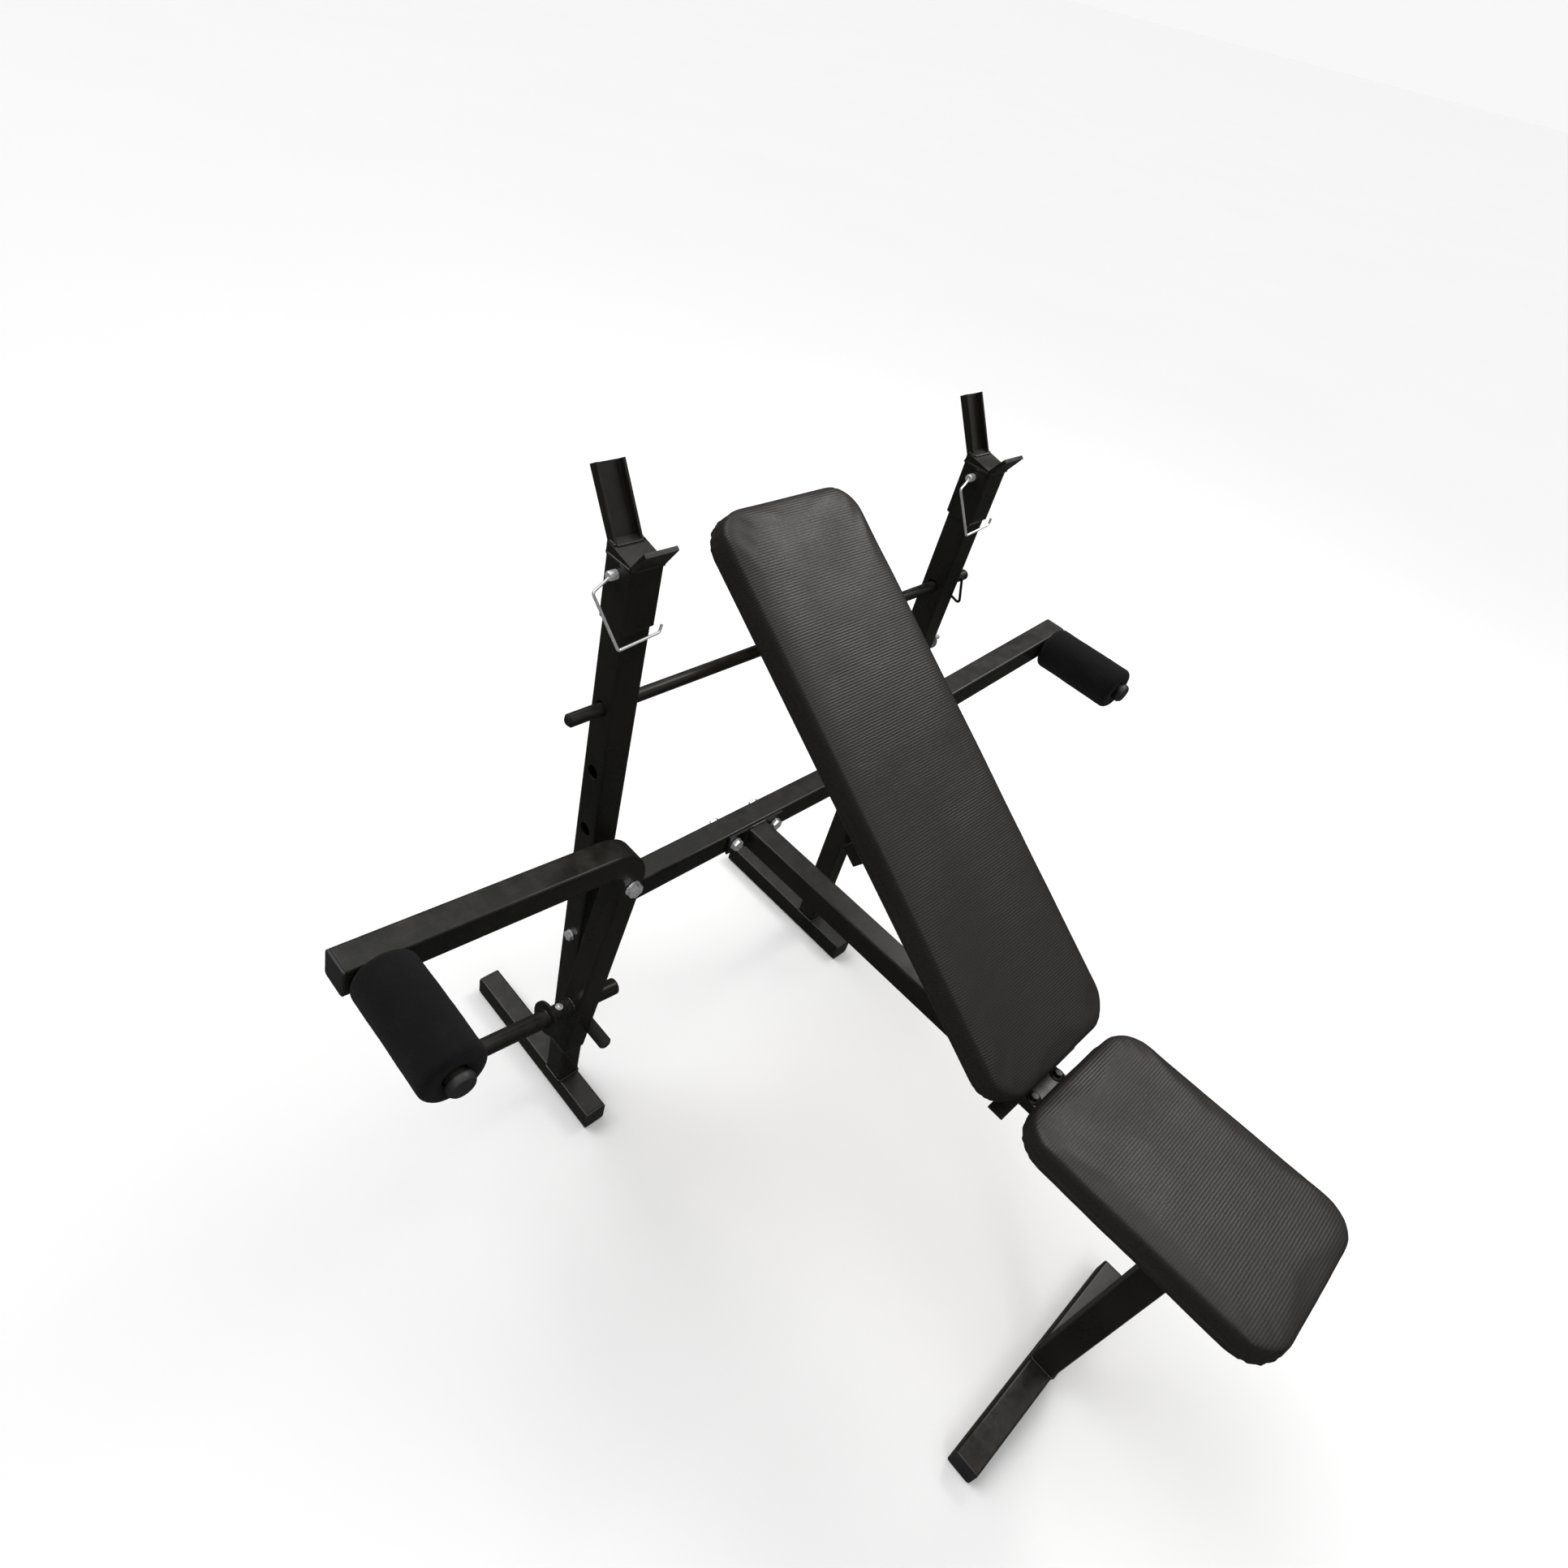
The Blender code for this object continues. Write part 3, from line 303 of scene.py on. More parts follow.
def rubber_material():
    g = Graph("black_rubber", 0.8)
    colour = g.mixed(g.span(g.noise(30.0, 4.0), 0.3, 0.7), (0.013, 0.013, 0.013), (0.024, 0.023, 0.022))
    rough = g.span(g.noise(70.0, 4.0), 0.3, 0.7, 0.55, 0.75)
    return g.finish(colour, rough, g.bump(g.noise(500.0, 3.0), 0.2, 0.0004))


def wood_material():
    """Poplar plywood: long grain, darker streaks and a few pores."""
    g = Graph("plywood", 0.7)
    along = g.scaled(26.0, 1.6, 26.0)
    grain = g.noise(3.2, 6.0, 0.62, along, 0.7)
    fine = g.noise(24.0, 4.0, 0.6, along)
    colour = g.mixed(g.span(grain, 0.32, 0.68), (0.30, 0.185, 0.095), (0.46, 0.32, 0.19))
    colour = g.mixed(g.math("MULTIPLY", g.span(fine, 0.58, 0.75), 0.5), colour, (0.15, 0.085, 0.04))
    return g.finish(colour, g.span(fine, 0.3, 0.7, 0.58, 0.78), g.bump(fine, 0.25, 0.0006))


def floor_material():
    g = Graph("pale_floor", 0.9)
    colour = g.mixed(g.span(g.noise(0.8, 3.0), 0.3, 0.7), (0.895, 0.895, 0.895), (0.905, 0.905, 0.905))
    return g.finish(colour)


PAINT = paint_material()
VINYL = vinyl_material()
HEM = hem_material()
FOAM = foam_material()
ZINC = metal_material("bright_zinc", (0.66, 0.665, 0.68), 0.26, 0.35)
WIRE = metal_material("plated_wire", (0.74, 0.74, 0.75), 0.20, 0.15)
CAP = cap_material()
RUBBER = rubber_material()
WOOD = wood_material()

SLOT_LOOKS = {"frame_paint": PAINT, "vinyl": VINYL, "board": WOOD, "foam": FOAM, "zinc": ZINC,
              "pin_steel": WIRE, "stop_sleeve": RUBBER, "caps": CAP}


# ---------------------------------------------------------------- CAD nodes keep their shape

def soften(item, width, angle=40):
    """Eased edges and even shading on a CAD node; its own mesh stays as it is."""
    mesh = item.data
    for name in [a.name for a in mesh.attributes if a.name in ("custom_normal", "sharp_face", "sharp_edge")]:
        mesh.attributes.remove(mesh.attributes[name])
    weld = item.modifiers.new("weld", "WELD")
    weld.merge_threshold = 0.00002
    if width:
        bevel = item.modifiers.new("ease", "BEVEL")
        bevel.width = width
        bevel.segments = 2
        bevel.limit_method = "ANGLE"
        bevel.angle_limit = math.radians(angle)
        bevel.miter_outer = "MITER_ARC"
    weighted = item.modifiers.new("even", "WEIGHTED_NORMAL")
    weighted.weight = 90
    weighted.keep_sharp = False


def dress_frame():
    for part in frame["record"]["subparts"]:
        item = frame["nodes"][part["node"]]
        look = SLOT_LOOKS[part["material_slot"]]
        for index in range(len(item.data.materials)):
            item.data.materials[index] = look
        small = part["material_slot"] in ("zinc", "pin_steel")
        soften(item, 0.0003 if small else 0.0006)


# ---------------------------------------------------------------- making pieces

def piece(name, mesh_data, look, body, placed=None, smooth=True):
    """A new object from a bmesh, riding on a body."""
    bmesh.ops.recalc_face_normals(mesh_data, faces=mesh_data.faces)
    mesh = bpy.data.meshes.new(name)
    mesh_data.to_mesh(mesh)
    mesh_data.free()
    return piece_from_mesh(name, mesh, look, body, placed, smooth)


def piece_from_mesh(name, mesh, look, body, placed=None, smooth=True):
    if smooth:
        mesh.shade_smooth()
        mesh.set_sharp_from_angle(angle=math.radians(38))
    mesh.materials.clear()
    mesh.materials.append(look)
    item = bpy.data.objects.new(name, mesh)
    bpy.context.scene.collection.objects.link(item)
    if placed is not None:
        item.matrix_world = placed
    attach(item, body)
    return item


def axes(along, side=(0, 0, 1)):
    """Two directions square to a run."""
    z = Vector(along).normalized()
    side = Vector(side)
    if abs(z.dot(side)) > 0.95:
        side = Vector((1, 0, 0)) if abs(z.x) < 0.9 else Vector((0, 1, 0))
    x = (side - z * z.dot(side)).normalized()
    return x, z.cross(x)


def resample(points, step, closed):
    """Evenly spaced points along a path."""
    points = [Vector(p) for p in points]
    if closed:
        points.append(points[0])
    lengths = [0.0]
    for a, b in zip(points, points[1:]):
        lengths.append(lengths[-1] + (b - a).length)
    count = max(2, round(lengths[-1] / step))
    out = []
    leg = 0
    for k in range(count if closed else count + 1):
        here = lengths[-1] * k / count
        while leg < len(points) - 2 and lengths[leg + 1] < here:
            leg += 1
        run = lengths[leg + 1] - lengths[leg] or 1.0
        out.append(points[leg].lerp(points[leg + 1], (here - lengths[leg]) / run))
    return out


def join_rings(mesh_data, rings, closed=False):
    """Faces between rings with equal numbers of points."""
    pairs = list(zip(rings, rings[1:]))
    if closed:
        pairs.append((rings[-1], rings[0]))
    for low, high in pairs:
        for i in range(len(low)):
            j = (i + 1) % len(low)
            mesh_data.faces.new((low[i], low[j], high[j], high[i]))


def bead(mesh_data, points, radius=0.0021, closed=False, pitch=BEAD_PITCH):
    """Weld bead with overlapping ripples along a path."""
    path = resample(points, BEAD_STEP, closed)
    rings = []
    count = len(path)
    for k, here in enumerate(path):
        ahead = path[(k + 1) % count] if closed else path[min(k + 1, count - 1)]
        behind = path[k - 1] if closed or k else path[0]
        x, y = axes(ahead - behind)
        phase = (k * BEAD_STEP / pitch) % 1.0
        swell = radius * (0.80 + 0.30 * math.sqrt(max(0.0, 1 - (2 * phase - 1) ** 2)))
        swell *= 1 + random.uniform(-0.07, 0.07)
        if not closed and k in (0, count - 1):
            swell *= 0.45
        drift = x * random.uniform(-1, 1) * 0.00012 + y * random.uniform(-1, 1) * 0.00012
        ring = []
        for s in range(BEAD_SIDES):
            turn = 2 * math.pi * s / BEAD_SIDES
            ring.append(mesh_data.verts.new(here + drift + (x * math.cos(turn) + y * math.sin(turn)) * swell))
        rings.append(ring)
    join_rings(mesh_data, rings, closed)
    if not closed:
        mesh_data.faces.new(rings[0])
        mesh_data.faces.new(rings[-1])


def rectangle(width, height, radius=0.004, steps=3):
    points = []
    for quarter, (sx, sy) in enumerate(((1, 1), (-1, 1), (-1, -1), (1, -1))):
        for step in range(steps + 1):
            turn = math.pi / 2 * (quarter + step / steps)
            points.append((sx * (width / 2 - radius) + radius * math.cos(turn),
                           sy * (height / 2 - radius) + radius * math.sin(turn)))
    return points


def loop_at(centre, u, v, width, height, radius=0.004):
    """A rounded rectangle's points in the plane of u and v."""
    return [Vector(centre) + Vector(u) * p + Vector(v) * q for p, q in rectangle(width, height, radius)]


def circle_at(centre, along, radius, count=40):
    x, y = axes(along)
    turns = (2 * math.pi * k / count for k in range(count))
    return [Vector(centre) + (x * math.cos(t) + y * math.sin(t)) * radius for t in turns]


def lathe(mesh_data, profile, centre, along, sides=24, phase=0.0):
    """Turn (radius, height) points about a line; both ends are closed."""
    z = Vector(along).normalized()
    x, y = axes(z)
    rings = []
    for radius, height in profile:
        ring = []
        for s in range(sides):
            turn = 2 * math.pi * s / sides + phase
            ring.append(mesh_data.verts.new(Vector(centre) + z * height
                                            + (x * math.cos(turn) + y * math.sin(turn)) * radius))
        rings.append(ring)
    join_rings(mesh_data, rings)
    mesh_data.faces.new(rings[0])
    mesh_data.faces.new(rings[-1])


def screw_head(mesh_data, seat, outward, radius=0.0065, height=0.0042):
    """Domed head on a washer, standing on a face."""
    washer = [(radius * 1.55, 0), (radius * 1.55, 0.0011), (radius * 1.45, 0.0014)]
    lathe(mesh_data, washer, seat, outward, 24)
    dome = [(radius, 0.0013)]
    for k in range(1, 6):
        turn = math.pi / 2 * k / 6
        dome.append((radius * math.cos(turn), 0.0013 + height * math.sin(turn)))
    lathe(mesh_data, dome, seat, outward, 24)


def hex_bolt(mesh_data, seat, outward, flats=0.010, height=0.0050, washer=True, tail=0.0):
    """Hexagon head or nut with its chamfer, a washer under it, and an optional bolt end."""
    base = 0.0
    if washer:
        disc = [(flats * 0.98, 0), (flats * 0.98, 0.0012), (flats * 0.93, 0.0015)]
        lathe(mesh_data, disc, seat, outward, 24)
        base = 0.0014
    corner = flats / 2 / math.cos(math.pi / 6)
    lathe(mesh_data, [(corner, base), (corner, base + height * 0.85), (corner * 0.88, base + height)],
          seat, outward, 6)
    if tail:
        ridges = [(flats * 0.30, base + height - 0.0005)]
        pitch = 0.0012
        for k in range(int(tail / pitch)):
            ridges.append((flats * 0.30, base + height + (k + 0.2) * pitch))
            ridges.append((flats * 0.26, base + height + (k + 0.7) * pitch))
        lathe(mesh_data, ridges, seat, outward, 16)


# ---------------------------------------------------------------- pads

def rounded_block(width, length, thick, corner, edge, low_edge):
    """Closed cushion blank: outlines stacked from the underside, over rounded edges, to the top."""
    mesh_data = bmesh.new()
    low_turns = [math.pi / 2 * k / 4 for k in range(5)]
    high_turns = [math.pi / 2 * k / 6 for k in range(7)]
    levels = [(low_edge * (1 - math.sin(t)), low_edge * (1 - math.cos(t))) for t in low_turns]
    levels += [(edge * (1 - math.cos(t)), thick - edge * (1 - math.sin(t))) for t in high_turns]
    rings = []
    for inset, height in levels:
        points = rectangle(width - 2 * inset, length - 2 * inset, corner - inset * 0.6, 8)
        rings.append([mesh_data.verts.new((p, q, height)) for p, q in points])
    join_rings(mesh_data, rings)
    mesh_data.faces.new(rings[0])
    mesh_data.faces.new(rings[-1])
    return mesh_data


def evaluated(item):
    """Mesh of an object with its modifiers applied."""
    graph = bpy.context.evaluated_depsgraph_get()
    return bpy.data.meshes.new_from_object(item.evaluated_get(graph))


def inflate(item, cap):
    """Cloth under gentle pressure, with the underside held by the board; no point moves more than cap."""
    held = item.vertex_groups.new(name="board")
    low = min(v.co.z for v in item.data.vertices)
    held.add([v.index for v in item.data.vertices if v.co.z < low + 0.007], 1.0, "REPLACE")
    start = [v.co.copy() for v in item.data.vertices]
    cloth = item.modifiers.new("cloth", "CLOTH")
    cloth.settings.use_pressure = True
    cloth.settings.uniform_pressure_force = SIM_PRESSURE
    cloth.settings.effector_weights.gravity = 0.0
    cloth.settings.vertex_group_mass = "board"
    cloth.settings.tension_stiffness = SIM_STIFFNESS
    cloth.settings.compression_stiffness = SIM_STIFFNESS
    cloth.settings.bending_stiffness = 1.5
    cloth.settings.quality = 4
    cloth.point_cache.frame_start = 1
    cloth.point_cache.frame_end = SIM_FRAMES
    for step in range(1, SIM_FRAMES + 1):
        bpy.context.scene.frame_set(step)
    swollen = evaluated(item)
    moved = [v.co.copy() for v in swollen.vertices]
    item.modifiers.remove(cloth)
    bpy.context.scene.frame_set(1)
    for vert, before, after in zip(item.data.vertices, start, moved):
        shift = after - before
        length = shift.length
        limit = cap * math.tanh(length / cap) if length > 0 else 0.0
        vert.co = before + (shift * (limit / length) if length > 1e-9 else shift)
    bpy.data.meshes.remove(swollen)


def relax(mesh, rounds, hold_below):
    """Even out a mesh, leaving its underside flat."""
    mesh_data = bmesh.new()
    mesh_data.from_mesh(mesh)
    free = [v for v in mesh_data.verts if v.co.z > hold_below]
    for _ in range(rounds):
        bmesh.ops.smooth_vert(mesh_data, verts=free, factor=0.5, use_axis_x=True, use_axis_y=True,
                              use_axis_z=True)
    mesh_data.to_mesh(mesh)
    mesh_data.free()


def crown(mesh, width, length, thick, rise):
    """Firm foam under stretched vinyl stands a little higher in the middle."""
    for vert in mesh.vertices:
        if vert.co.z > thick * 0.55:
            across = max(0.0, 1 - (2 * vert.co.x / width) ** 4)
            along = max(0.0, 1 - (2 * vert.co.y / length) ** 6)
            vert.co.z += rise * across * along


def tuck_corners(mesh, width, length, thick, corner):
    """Pleats where the vinyl is gathered round each corner and pulled under."""
    for vert in mesh.vertices:
        x, y, z = vert.co
        cx, cy = width / 2 - corner, length / 2 - corner
        dx, dy = abs(x) - cx, abs(y) - cy
        if dx <= -0.01 or dy <= -0.01:
            continue
        reach = math.hypot(max(dx, 0.0001), max(dy, 0.0001))
        if reach < corner * 0.72:
            continue
        turn = math.atan2(max(dy, 0.0), max(dx, 0.0001))
        window = math.sin(2 * turn) ** 0.5 if 0 < turn < math.pi / 2 else 0.0
        depth = max(0.0, min(1.0, (thick * 0.80 - z) / (thick * 0.65)))
        wave = math.sin(turn * 22 + 3.1 * (x > 0) + 1.7 * (y > 0)) * 0.5 + math.sin(turn * 37 + y * 9) * 0.25
        push = PLEAT_DEPTH * wave * window * depth ** 1.4
        out = Vector((math.copysign(max(dx, 0), x), math.copysign(max(dy, 0), y), 0))
        if out.length > 1e-6:
            vert.co += out.normalized() * push


def drape_detail(mesh, thick, seed):
    """Slack in the vinyl: folds that run along the sides, a faint unevenness on top."""
    normals = [v.normal.copy() for v in mesh.vertices]
    for vert, normal in zip(mesh.vertices, normals):
        p = vert.co
        side = max(0.0, min(1.0, (thick * 0.85 - p.z) / (thick * 0.5)))
        slow = noise.noise(Vector((p.x * 14 + seed, p.y * 14, p.z * 22)))
        quick = noise.noise(Vector((p.x * 46, p.y * 46 + seed, p.z * 60)))
        fold = math.sin(2 * math.pi * (p.z + 0.0016 * slow) / FOLD_PITCH)
        vert.co += normal * (0.00045 * slow + (0.00035 * quick + 0.0003 * slow + FOLD_DEPTH * fold) * side)


def padded_top(name, node, body, placed, width, length, thick, corner, seed):
    """Vinyl cushion: blank, remesh, inflate, relax, then the gathers that the remesh would lose."""
    voxel = 0.0052
    lift = 0.0012
    trim = 0.0012
    blank = bpy.data.meshes.new(name + "_blank")
    block = rounded_block(width - 2 * trim, length - 2 * trim, thick - lift - 0.003, corner - trim,
                          0.008, 0.005)
    bmesh.ops.recalc_face_normals(block, faces=block.faces)
    block.to_mesh(blank)
    block.free()
    item = bpy.data.objects.new(name + "_blank", blank)
    bpy.context.scene.collection.objects.link(item)
    remesh = item.modifiers.new("remesh", "REMESH")
    remesh.mode = "VOXEL"
    remesh.voxel_size = voxel
    remesh.adaptivity = 0.0
    even = evaluated(item)
    item.modifiers.remove(remesh)
    item.data = even
    inflate(item, PAD_SWELL)
    relax(even, 1, 0.0015)
    crown(even, width, length, thick, PAD_CROWN)
    split = item.modifiers.new("split", "SUBSURF")
    split.levels = 1
    split.render_levels = 1
    fine = evaluated(item)
    bpy.data.objects.remove(item)
    tuck_corners(fine, width, length, thick, corner)
    drape_detail(fine, thick, seed)
    half_x, half_y = width / 2, length / 2
    for vert in fine.vertices:
        vert.co.x = max(-half_x - 0.0005, min(half_x + 0.0005, vert.co.x))
        vert.co.y = max(-half_y - 0.0005, min(half_y + 0.0005, vert.co.y))
        vert.co.z = lift + max(0.0, vert.co.z)
    made = piece_from_mesh(name, fine, VINYL, body, placed)
    made.data.shade_smooth()
    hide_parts(node)
    return made


def pad_underside(prefix, board_node, body, placed, width, length, corner, seed):
    """Board with the vinyl turned over its edge and stapled down."""
    inset = 0.026
    mesh_data = bmesh.new()
    outline = rectangle(width - 2 * inset + 0.002, length - 2 * inset + 0.002, corner - inset + 0.004, 5)
    low = [mesh_data.verts.new((p, q, 0.0005)) for p, q in outline]
    high = [mesh_data.verts.new((p, q, 0.0032)) for p, q in outline]
    mesh_data.faces.new(low)
    mesh_data.faces.new(high)
    join_rings(mesh_data, (low, high))
    board = piece(prefix + "_board_face", mesh_data, WOOD, body, placed, smooth=False)
    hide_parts(board_node)
    mesh_data = bmesh.new()
    edge = rectangle(width - 0.010, length - 0.010, corner - 0.005, 8)
    outer = resample([(p, q, 0) for p, q in edge], 0.004, True)
    rings = []
    for frac, height in ((0.0, 0.0030), (0.05, 0.0010), (0.4, 0.0002), (0.85, 0.0002), (1.0, 0.0004),
                         (1.0, 0.0012), (0.5, 0.0024)):
        ring = []
        for k, p in enumerate(outer):
            inward = Vector((-p.x / (width / 2), -p.y / (length / 2), 0))
            cx, cy = width / 2 - corner, length / 2 - corner
            pull = Vector((-math.copysign(1, p.x) if abs(p.x) > cx else 0,
                           -math.copysign(1, p.y) if abs(p.y) > cy else 0, 0))
            inward = pull.normalized() if pull.length else inward.normalized()
            wobble = 0.0012 * noise.noise(Vector((p.x * 60, p.y * 60, seed)))
            reach = (inset - 0.005) * frac + (wobble if frac == 1.0 else 0.0)
            gather = 0.0002 * (1 + math.sin(k * 1.9)) if abs(p.x) > cx and abs(p.y) > cy else 0.0
            ring.append(mesh_data.verts.new(p + inward * reach + Vector((0, 0, height + gather))))
        rings.append(ring)
    join_rings(mesh_data, rings, closed=True)
    piece(prefix + "_hem", mesh_data, HEM, body, placed)
    mesh_data = bmesh.new()
    edge = rectangle(width - 0.034, length - 0.034, corner - 0.014, 6)
    staple_line = resample([(p, q, 0) for p, q in edge], 0.026, True)
    for k, p in enumerate(staple_line):
        ahead = staple_line[(k + 1) % len(staple_line)]
        along = (ahead - p).normalized()
        along.rotate(Matrix.Rotation(random.uniform(-0.30, 0.30), 3, "Z"))
        across = Vector((-along.y, along.x, 0))
        corners = []
        for height in (-0.00025, 0.0007):
            for a, b in ((-1, -1), (1, -1), (1, 1), (-1, 1)):
                offset = along * STAPLE_REACH * a + across * STAPLE_WIRE * b
                corners.append(mesh_data.verts.new(p + offset + Vector((0, 0, height))))
        for face in ((0, 1, 2, 3), (4, 5, 6, 7), (0, 1, 5, 4), (1, 2, 6, 5), (2, 3, 7, 6), (3, 0, 4, 7)):
            mesh_data.faces.new([corners[i] for i in face])
    piece(prefix + "_staples", mesh_data, ZINC, body, placed, smooth=False)


def backrest_space():
    """Backrest's own space: X across, Y up along it, Z out of its face, from the pivot."""
    return Matrix.Translation(PIVOT) @ Matrix.Rotation(RECLINE, 4, "X")


def make_pads():
    placed = backrest_space() @ Matrix.Translation((0, BACK_LENGTH / 2 - PIVOT_ALONG, HALF + GAP))
    padded_top("backrest_cushion", "backrest_pad", "backrest", placed, PAD_WIDTH, BACK_LENGTH, PAD_THICK,
               PAD_CORNER, 3.7)
    pad_underside("backrest", "backrest_board", "backrest", placed, PAD_WIDTH, BACK_LENGTH, PAD_CORNER, 1.0)
    low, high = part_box("seat_pad")
    placed = Matrix.Translation(((low.x + high.x) / 2, (low.y + high.y) / 2, low.z))
    length = high.y - low.y
    padded_top("seat_cushion", "seat_pad", "frame", placed, PAD_WIDTH, length, PAD_THICK, PAD_CORNER, 8.2)
    pad_underside("seat", "seat_board", "frame", placed, PAD_WIDTH, length, PAD_CORNER, 2.0)


# ---------------------------------------------------------------- foam rollers

def make_foam_roller(name):
    """Thick foam sleeve: soft rounded ends, drawn in round the tube, slightly uneven from use."""
    low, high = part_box(name + "_foam_roller")
    radius = (high.x - low.x) / 2
    length = high.y - low.y
    bore = 0.0128
    centre = (low + high) / 2
    edge = 0.0095
    profile = [(bore, 0.014), (bore + 0.0012, 0.0035), (bore + 0.0045, 0.0012), (bore + 0.010, 0.0)]
    profile += [(radius - edge + edge * math.sin(t), edge * (1 - math.cos(t)))
                for t in (math.pi / 2 * k / 8 for k in range(9))]
    rows = 34
    profile += [(radius, edge + (length - 2 * edge) * k / rows) for k in range(1, rows)]
    profile += [(r, length - h) for r, h in reversed(profile[:13])]
    mesh_data = bmesh.new()
    sides = 72
    rings = []
    for r, h in profile:
        ring = []
        for s in range(sides):
            turn = 2 * math.pi * s / sides
            dent = noise.noise(Vector((math.cos(turn) * 2.1, math.sin(turn) * 2.1, h * 24 + len(name))))
            pit = noise.noise(Vector((math.cos(turn) * 9, math.sin(turn) * 9, h * 90)))
            give = (-0.0006 + 0.0006 * dent + 0.0002 * pit) * min(1.0, (r - bore) / 0.012)
            reach = r + give
            place = (reach * math.cos(turn), h - length / 2, reach * math.sin(turn))
            ring.append(mesh_data.verts.new(place))
        rings.append(ring)
    join_rings(mesh_data, rings, closed=True)
    node = name + "_foam_roller"
    made = piece(name + "_foam_sleeve", mesh_data, FOAM, node, Matrix.Translation(centre))
    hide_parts(node)


# ---------------------------------------------------------------- welds and small fittings

X, Y, Z = Vector((1, 0, 0)), Vector((0, 1, 0)), Vector((0, 0, 1))


def at(x, y, z):
    return Vector((x, UPRIGHT_Y + y, z))


def rear_end(node):
    """Centre of the rear end of a piece that runs along Y."""
    centre = middle(node)
    return Vector((centre.x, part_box(node)[1].y, centre.z))


def frame_welds():
    mesh_data = bmesh.new()
    wide = TUBE + 0.0005
    for _, side in SIDES:
        bead(mesh_data, loop_at(at(side * UPRIGHT_X, 0, TUBE + 0.0004), X, Y, wide, wide), closed=True)
        inner_face = UPRIGHT_X - HALF - GAP - PLATE
        bead(mesh_data, loop_at(at(side * inner_face, 0, BEAM_Z), Y, Z, wide, wide), closed=True)
        ear = side * (HALF + EAR_CLEARANCE + PLATE)
        low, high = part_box("hinge_bracket")
        base = low.z + PLATE
        bead(mesh_data, [(ear, PIVOT.y - 0.025, base), (ear, PIVOT.y + 0.025, base)], 0.0018)
        rim = side * (HALF + 0.0008)
        under = low.z - 0.0004
        bead(mesh_data, [(rim, low.y + 0.008, under), (rim, high.y - 0.008, under)], 0.0018)
    post = middle("front_post")
    bead(mesh_data, loop_at((post.x, post.y, TUBE + 0.0004), X, Y, wide, wide), closed=True)
    bead(mesh_data, loop_at((post.x, post.y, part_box("front_post")[1].z), X, Y, wide, wide), closed=True)
    plate = -HALF - GAP - PLATE
    bead(mesh_data, loop_at(at(0, plate, BEAM_Z), X, Z, wide, wide), closed=True)
    for label in ("rear", "front"):
        low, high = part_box("seat_bracket_" + label)
        for y in (low.y, high.y):
            bead(mesh_data, [(-HALF + 0.003, y, low.z), (HALF - 0.003, y, low.z)], 0.0018)
    for name, side in SIDES:
        bead(mesh_data, circle_at(rear_end(name + "_lever_stop"), Y, 0.0102), 0.0016, True)
        holder_welds(mesh_data, side)
        for y in (-0.569, -0.474):
            hex_bolt(mesh_data, at(side * 0.028, y, BEAM_Z + HALF + GAP + PLATE), Z, 0.010, 0.0050)
    piece("frame_welds", mesh_data, PAINT, "frame")


def holder_welds(mesh_data, side):
    """Beads where the saddle meets the sleeve and where the channel meets the saddle."""
    x = side * UPRIGHT_X
    edge = 0.0215
    reach = 0.0205
    for y in (-edge - 0.0006, edge + 0.0004):
        bead(mesh_data, [at(x - reach, y, SADDLE_SEAM), at(x + reach, y, SADDLE_SEAM)], 0.0017)
    for end in (-1, 1):
        flank = x + end * (reach + 0.0006)
        bead(mesh_data, [at(flank, -edge + 0.002, SADDLE_SEAM), at(flank, edge - 0.002, SADDLE_SEAM)], 0.0017)
    foot = at(x, 0.0105, 1.0136)
    bead(mesh_data, [foot - X * 0.017, foot + X * 0.017], 0.0019)
    for end in (-1, 1):
        start = foot + X * end * 0.0183
        bead(mesh_data, [start, start + Y * 0.0105 + Z * 0.0022], 0.0019)


def backrest_welds():
    mesh_data = bmesh.new()
    for along, _ in WINGS:
        for side in (-1, 1):
            centre = (side * (HALF + 0.0004), along, HALF - 0.0005 - 0.0125)
            bead(mesh_data, loop_at(centre, Y, Z, 0.028, 0.0245, 0.002), 0.0017, True)
    piece("backrest_welds", mesh_data, PAINT, "backrest", backrest_space())


def lever_space(name):
    pos = Vector(joint(name + "_lever_swing")["pos_m"])
    return Vector((pos.x, middle(name + "_lever").y, pos.z))


def lever_details(name, side):
    """Welds round the plate peg and the roller tube, and a set screw on the peg's collar."""
    pivot = lever_space(name)
    leg = Vector((side * math.sin(LEG_LEAN), 0, -math.cos(LEG_LEAN)))
    outward = Vector((side * math.cos(LEG_LEAN), 0, math.sin(LEG_LEAN)))
    peg = pivot + leg * PEG_DROP
    mesh_data = bmesh.new()
    for reach in (-HALF, HALF):
        bead(mesh_data, circle_at(peg + outward * reach, outward, 0.0130), 0.0018, True)
    for reach in (0.0570, 0.0610):
        bead(mesh_data, circle_at(peg + outward * reach, outward, 0.0128), 0.0012, True, 0.0026)
    bead(mesh_data, circle_at(rear_end(name + "_roller_tube"), Y, 0.0128), 0.0014, True)
    piece(name + "_lever_welds", mesh_data, PAINT, name + "_lever")
    mesh_data = bmesh.new()
    screw_head(mesh_data, peg + outward * 0.040 + (-leg) * 0.0125, -leg, 0.0036, 0.0022)
    piece(name + "_peg_screw", mesh_data, ZINC, name + "_lever")


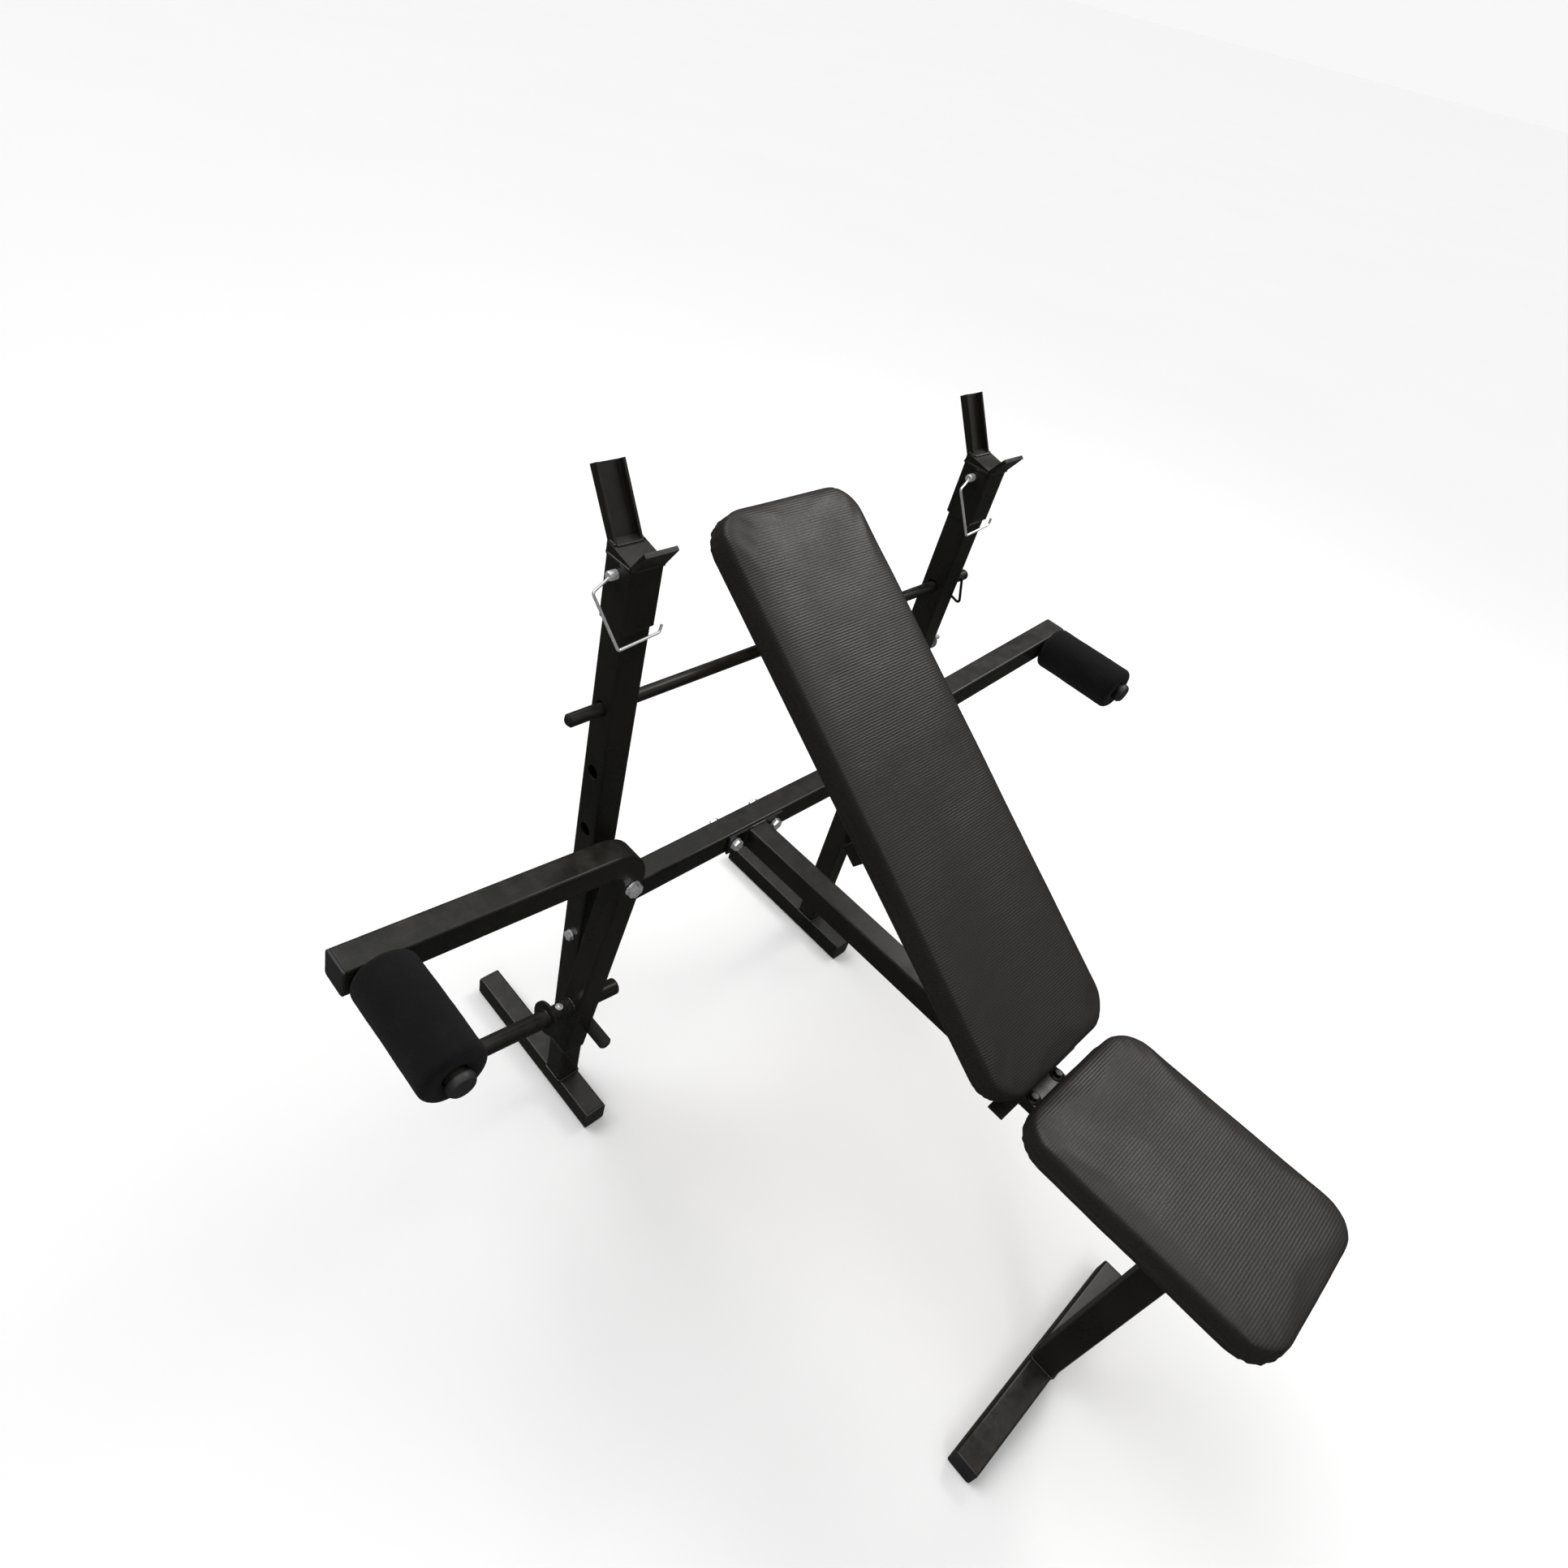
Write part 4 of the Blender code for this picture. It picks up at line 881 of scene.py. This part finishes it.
def fittings():
    """Screws under the pads, and the small bolt and nut on the right upright."""
    mesh_data = bmesh.new()
    for label in ("rear", "front"):
        low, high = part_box("seat_bracket_" + label)
        for side in (-1, 1):
            screw_head(mesh_data, (side * 0.080, (low.y + high.y) / 2, low.z), -Z, 0.0055, 0.0035)
    place = at(UPRIGHT_X + HALF, -0.010, 0.714)
    hex_bolt(mesh_data, place, X, 0.014, 0.0080, True, 0.012)
    piece("frame_screws", mesh_data, ZINC, "frame")
    mesh_data = bmesh.new()
    for along, reach in WINGS:
        for side in (-1, 1):
            screw_head(mesh_data, (side * (reach - 0.020), along, HALF - 0.0005 - 0.025), -Z, 0.0055, 0.0035)
    piece("backrest_screws", mesh_data, ZINC, "backrest", backrest_space())


# ---------------------------------------------------------------- stage, light and camera


def make_floor():
    mesh_data = bmesh.new()
    bmesh.ops.create_circle(mesh_data, cap_ends=True, segments=96, radius=600.0)
    mesh = bpy.data.meshes.new("floor")
    mesh_data.to_mesh(mesh)
    mesh_data.free()
    mesh.materials.append(floor_material())
    floor = bpy.data.objects.new("floor", mesh)
    floor.location = (0, 0, -0.0004)
    floor.visible_glossy = False
    bpy.context.scene.collection.objects.link(floor)


def area_light(name, place, target, width, height, power, colour=(1, 1, 1)):
    data = bpy.data.lights.new(name, "AREA")
    data.shape = "RECTANGLE"
    data.size = width
    data.size_y = height
    data.energy = power
    data.color = colour
    lamp = bpy.data.objects.new(name, data)
    lamp.location = place
    lamp.rotation_mode = "QUATERNION"
    lamp.rotation_quaternion = (Vector(target) - Vector(place)).to_track_quat("-Z", "Y")
    bpy.context.scene.collection.objects.link(lamp)


def sun(name, place, strength, spread):
    """Very soft light from one side, as a large softbox gives, and even over the whole floor."""
    data = bpy.data.lights.new(name, "SUN")
    data.energy = strength
    data.angle = math.radians(spread)
    lamp = bpy.data.objects.new(name, data)
    lamp.location = place
    lamp.rotation_mode = "QUATERNION"
    lamp.rotation_quaternion = (-Vector(place)).to_track_quat("-Z", "Y")
    bpy.context.scene.collection.objects.link(lamp)


def make_world():
    """White backdrop behind the object; its light and reflections come from a darker room."""
    world = bpy.data.worlds.new("studio")
    bpy.context.scene.world = world
    world.use_nodes = True
    nodes, links = world.node_tree.nodes, world.node_tree.links
    room = nodes["Background"]
    split = nodes.new("ShaderNodeSeparateXYZ")
    links.new(nodes.new("ShaderNodeTexCoord").outputs["Generated"], split.inputs[0])
    shade = nodes.new("ShaderNodeMapRange")
    links.new(split.outputs["Z"], shade.inputs["Value"])
    for key, number in (("From Min", -0.1), ("From Max", 1.0), ("To Min", ROOM_LOW), ("To Max", ROOM_HIGH)):
        shade.inputs[key].default_value = number
    links.new(shade.outputs["Result"], room.inputs["Strength"])
    room.inputs["Color"].default_value = (1.0, 1.0, 1.0, 1.0)
    backdrop = nodes.new("ShaderNodeBackground")
    backdrop.inputs["Color"].default_value = (1.0, 1.0, 1.0, 1.0)
    backdrop.inputs["Strength"].default_value = BACKDROP
    mix = nodes.new("ShaderNodeMixShader")
    links.new(nodes.new("ShaderNodeLightPath").outputs["Is Camera Ray"], mix.inputs[0])
    links.new(room.outputs[0], mix.inputs[1])
    links.new(backdrop.outputs[0], mix.inputs[2])
    links.new(mix.outputs[0], nodes["World Output"].inputs["Surface"])


def make_light():
    make_world()
    sun("key", (-0.7, 1.7, 2.4), 1.20, 40)
    sun("top", (0.2, 0.4, 3.0), 1.35, 80)
    sun("front_fill", (1.6, -2.4, 2.0), 0.25, 70)
    sun("edge_light", (-0.45, -0.51, 0.70), 0.28, 14)
    area_light("sheen", (2.0, 0.1, 2.9), (0, 0.3, 0.9), 1.0, 1.0, 30, (1.0, 0.965, 0.95))
    bpy.context.scene.view_settings.view_transform = "Standard"


def make_camera():
    """Hand-held view from the front left, a little rolled."""
    azimuth, elevation, roll = math.radians(-51.891), math.radians(41.675), math.radians(14.852)
    back = Vector((math.sin(azimuth) * math.cos(elevation), -math.cos(azimuth) * math.cos(elevation),
                   math.sin(elevation)))
    level = Vector((math.cos(azimuth), math.sin(azimuth), 0))
    rise = back.cross(level)
    right = level * math.cos(roll) + rise * math.sin(roll)
    up = rise * math.cos(roll) - level * math.sin(roll)
    data = bpy.data.cameras.new("camera")
    data.lens = 21.969
    data.sensor_width = 36.0
    data.shift_x = 0.0355
    data.shift_y = 0.0016
    data.clip_start = 0.05
    data.clip_end = 1500.0
    camera = bpy.data.objects.new("camera", data)
    turn = Matrix((right, up, back)).transposed().to_4x4()
    camera.matrix_world = Matrix.Translation(at(-0.8778, -0.6375, 1.4910)) @ turn
    bpy.context.scene.collection.objects.link(camera)
    bpy.context.scene.camera = camera


dress_frame()
make_pads()
for label, sign in SIDES:
    make_foam_roller(label)
    lever_details(label, sign)
frame_welds()
backrest_welds()
fittings()
make_floor()
make_light()
make_camera()
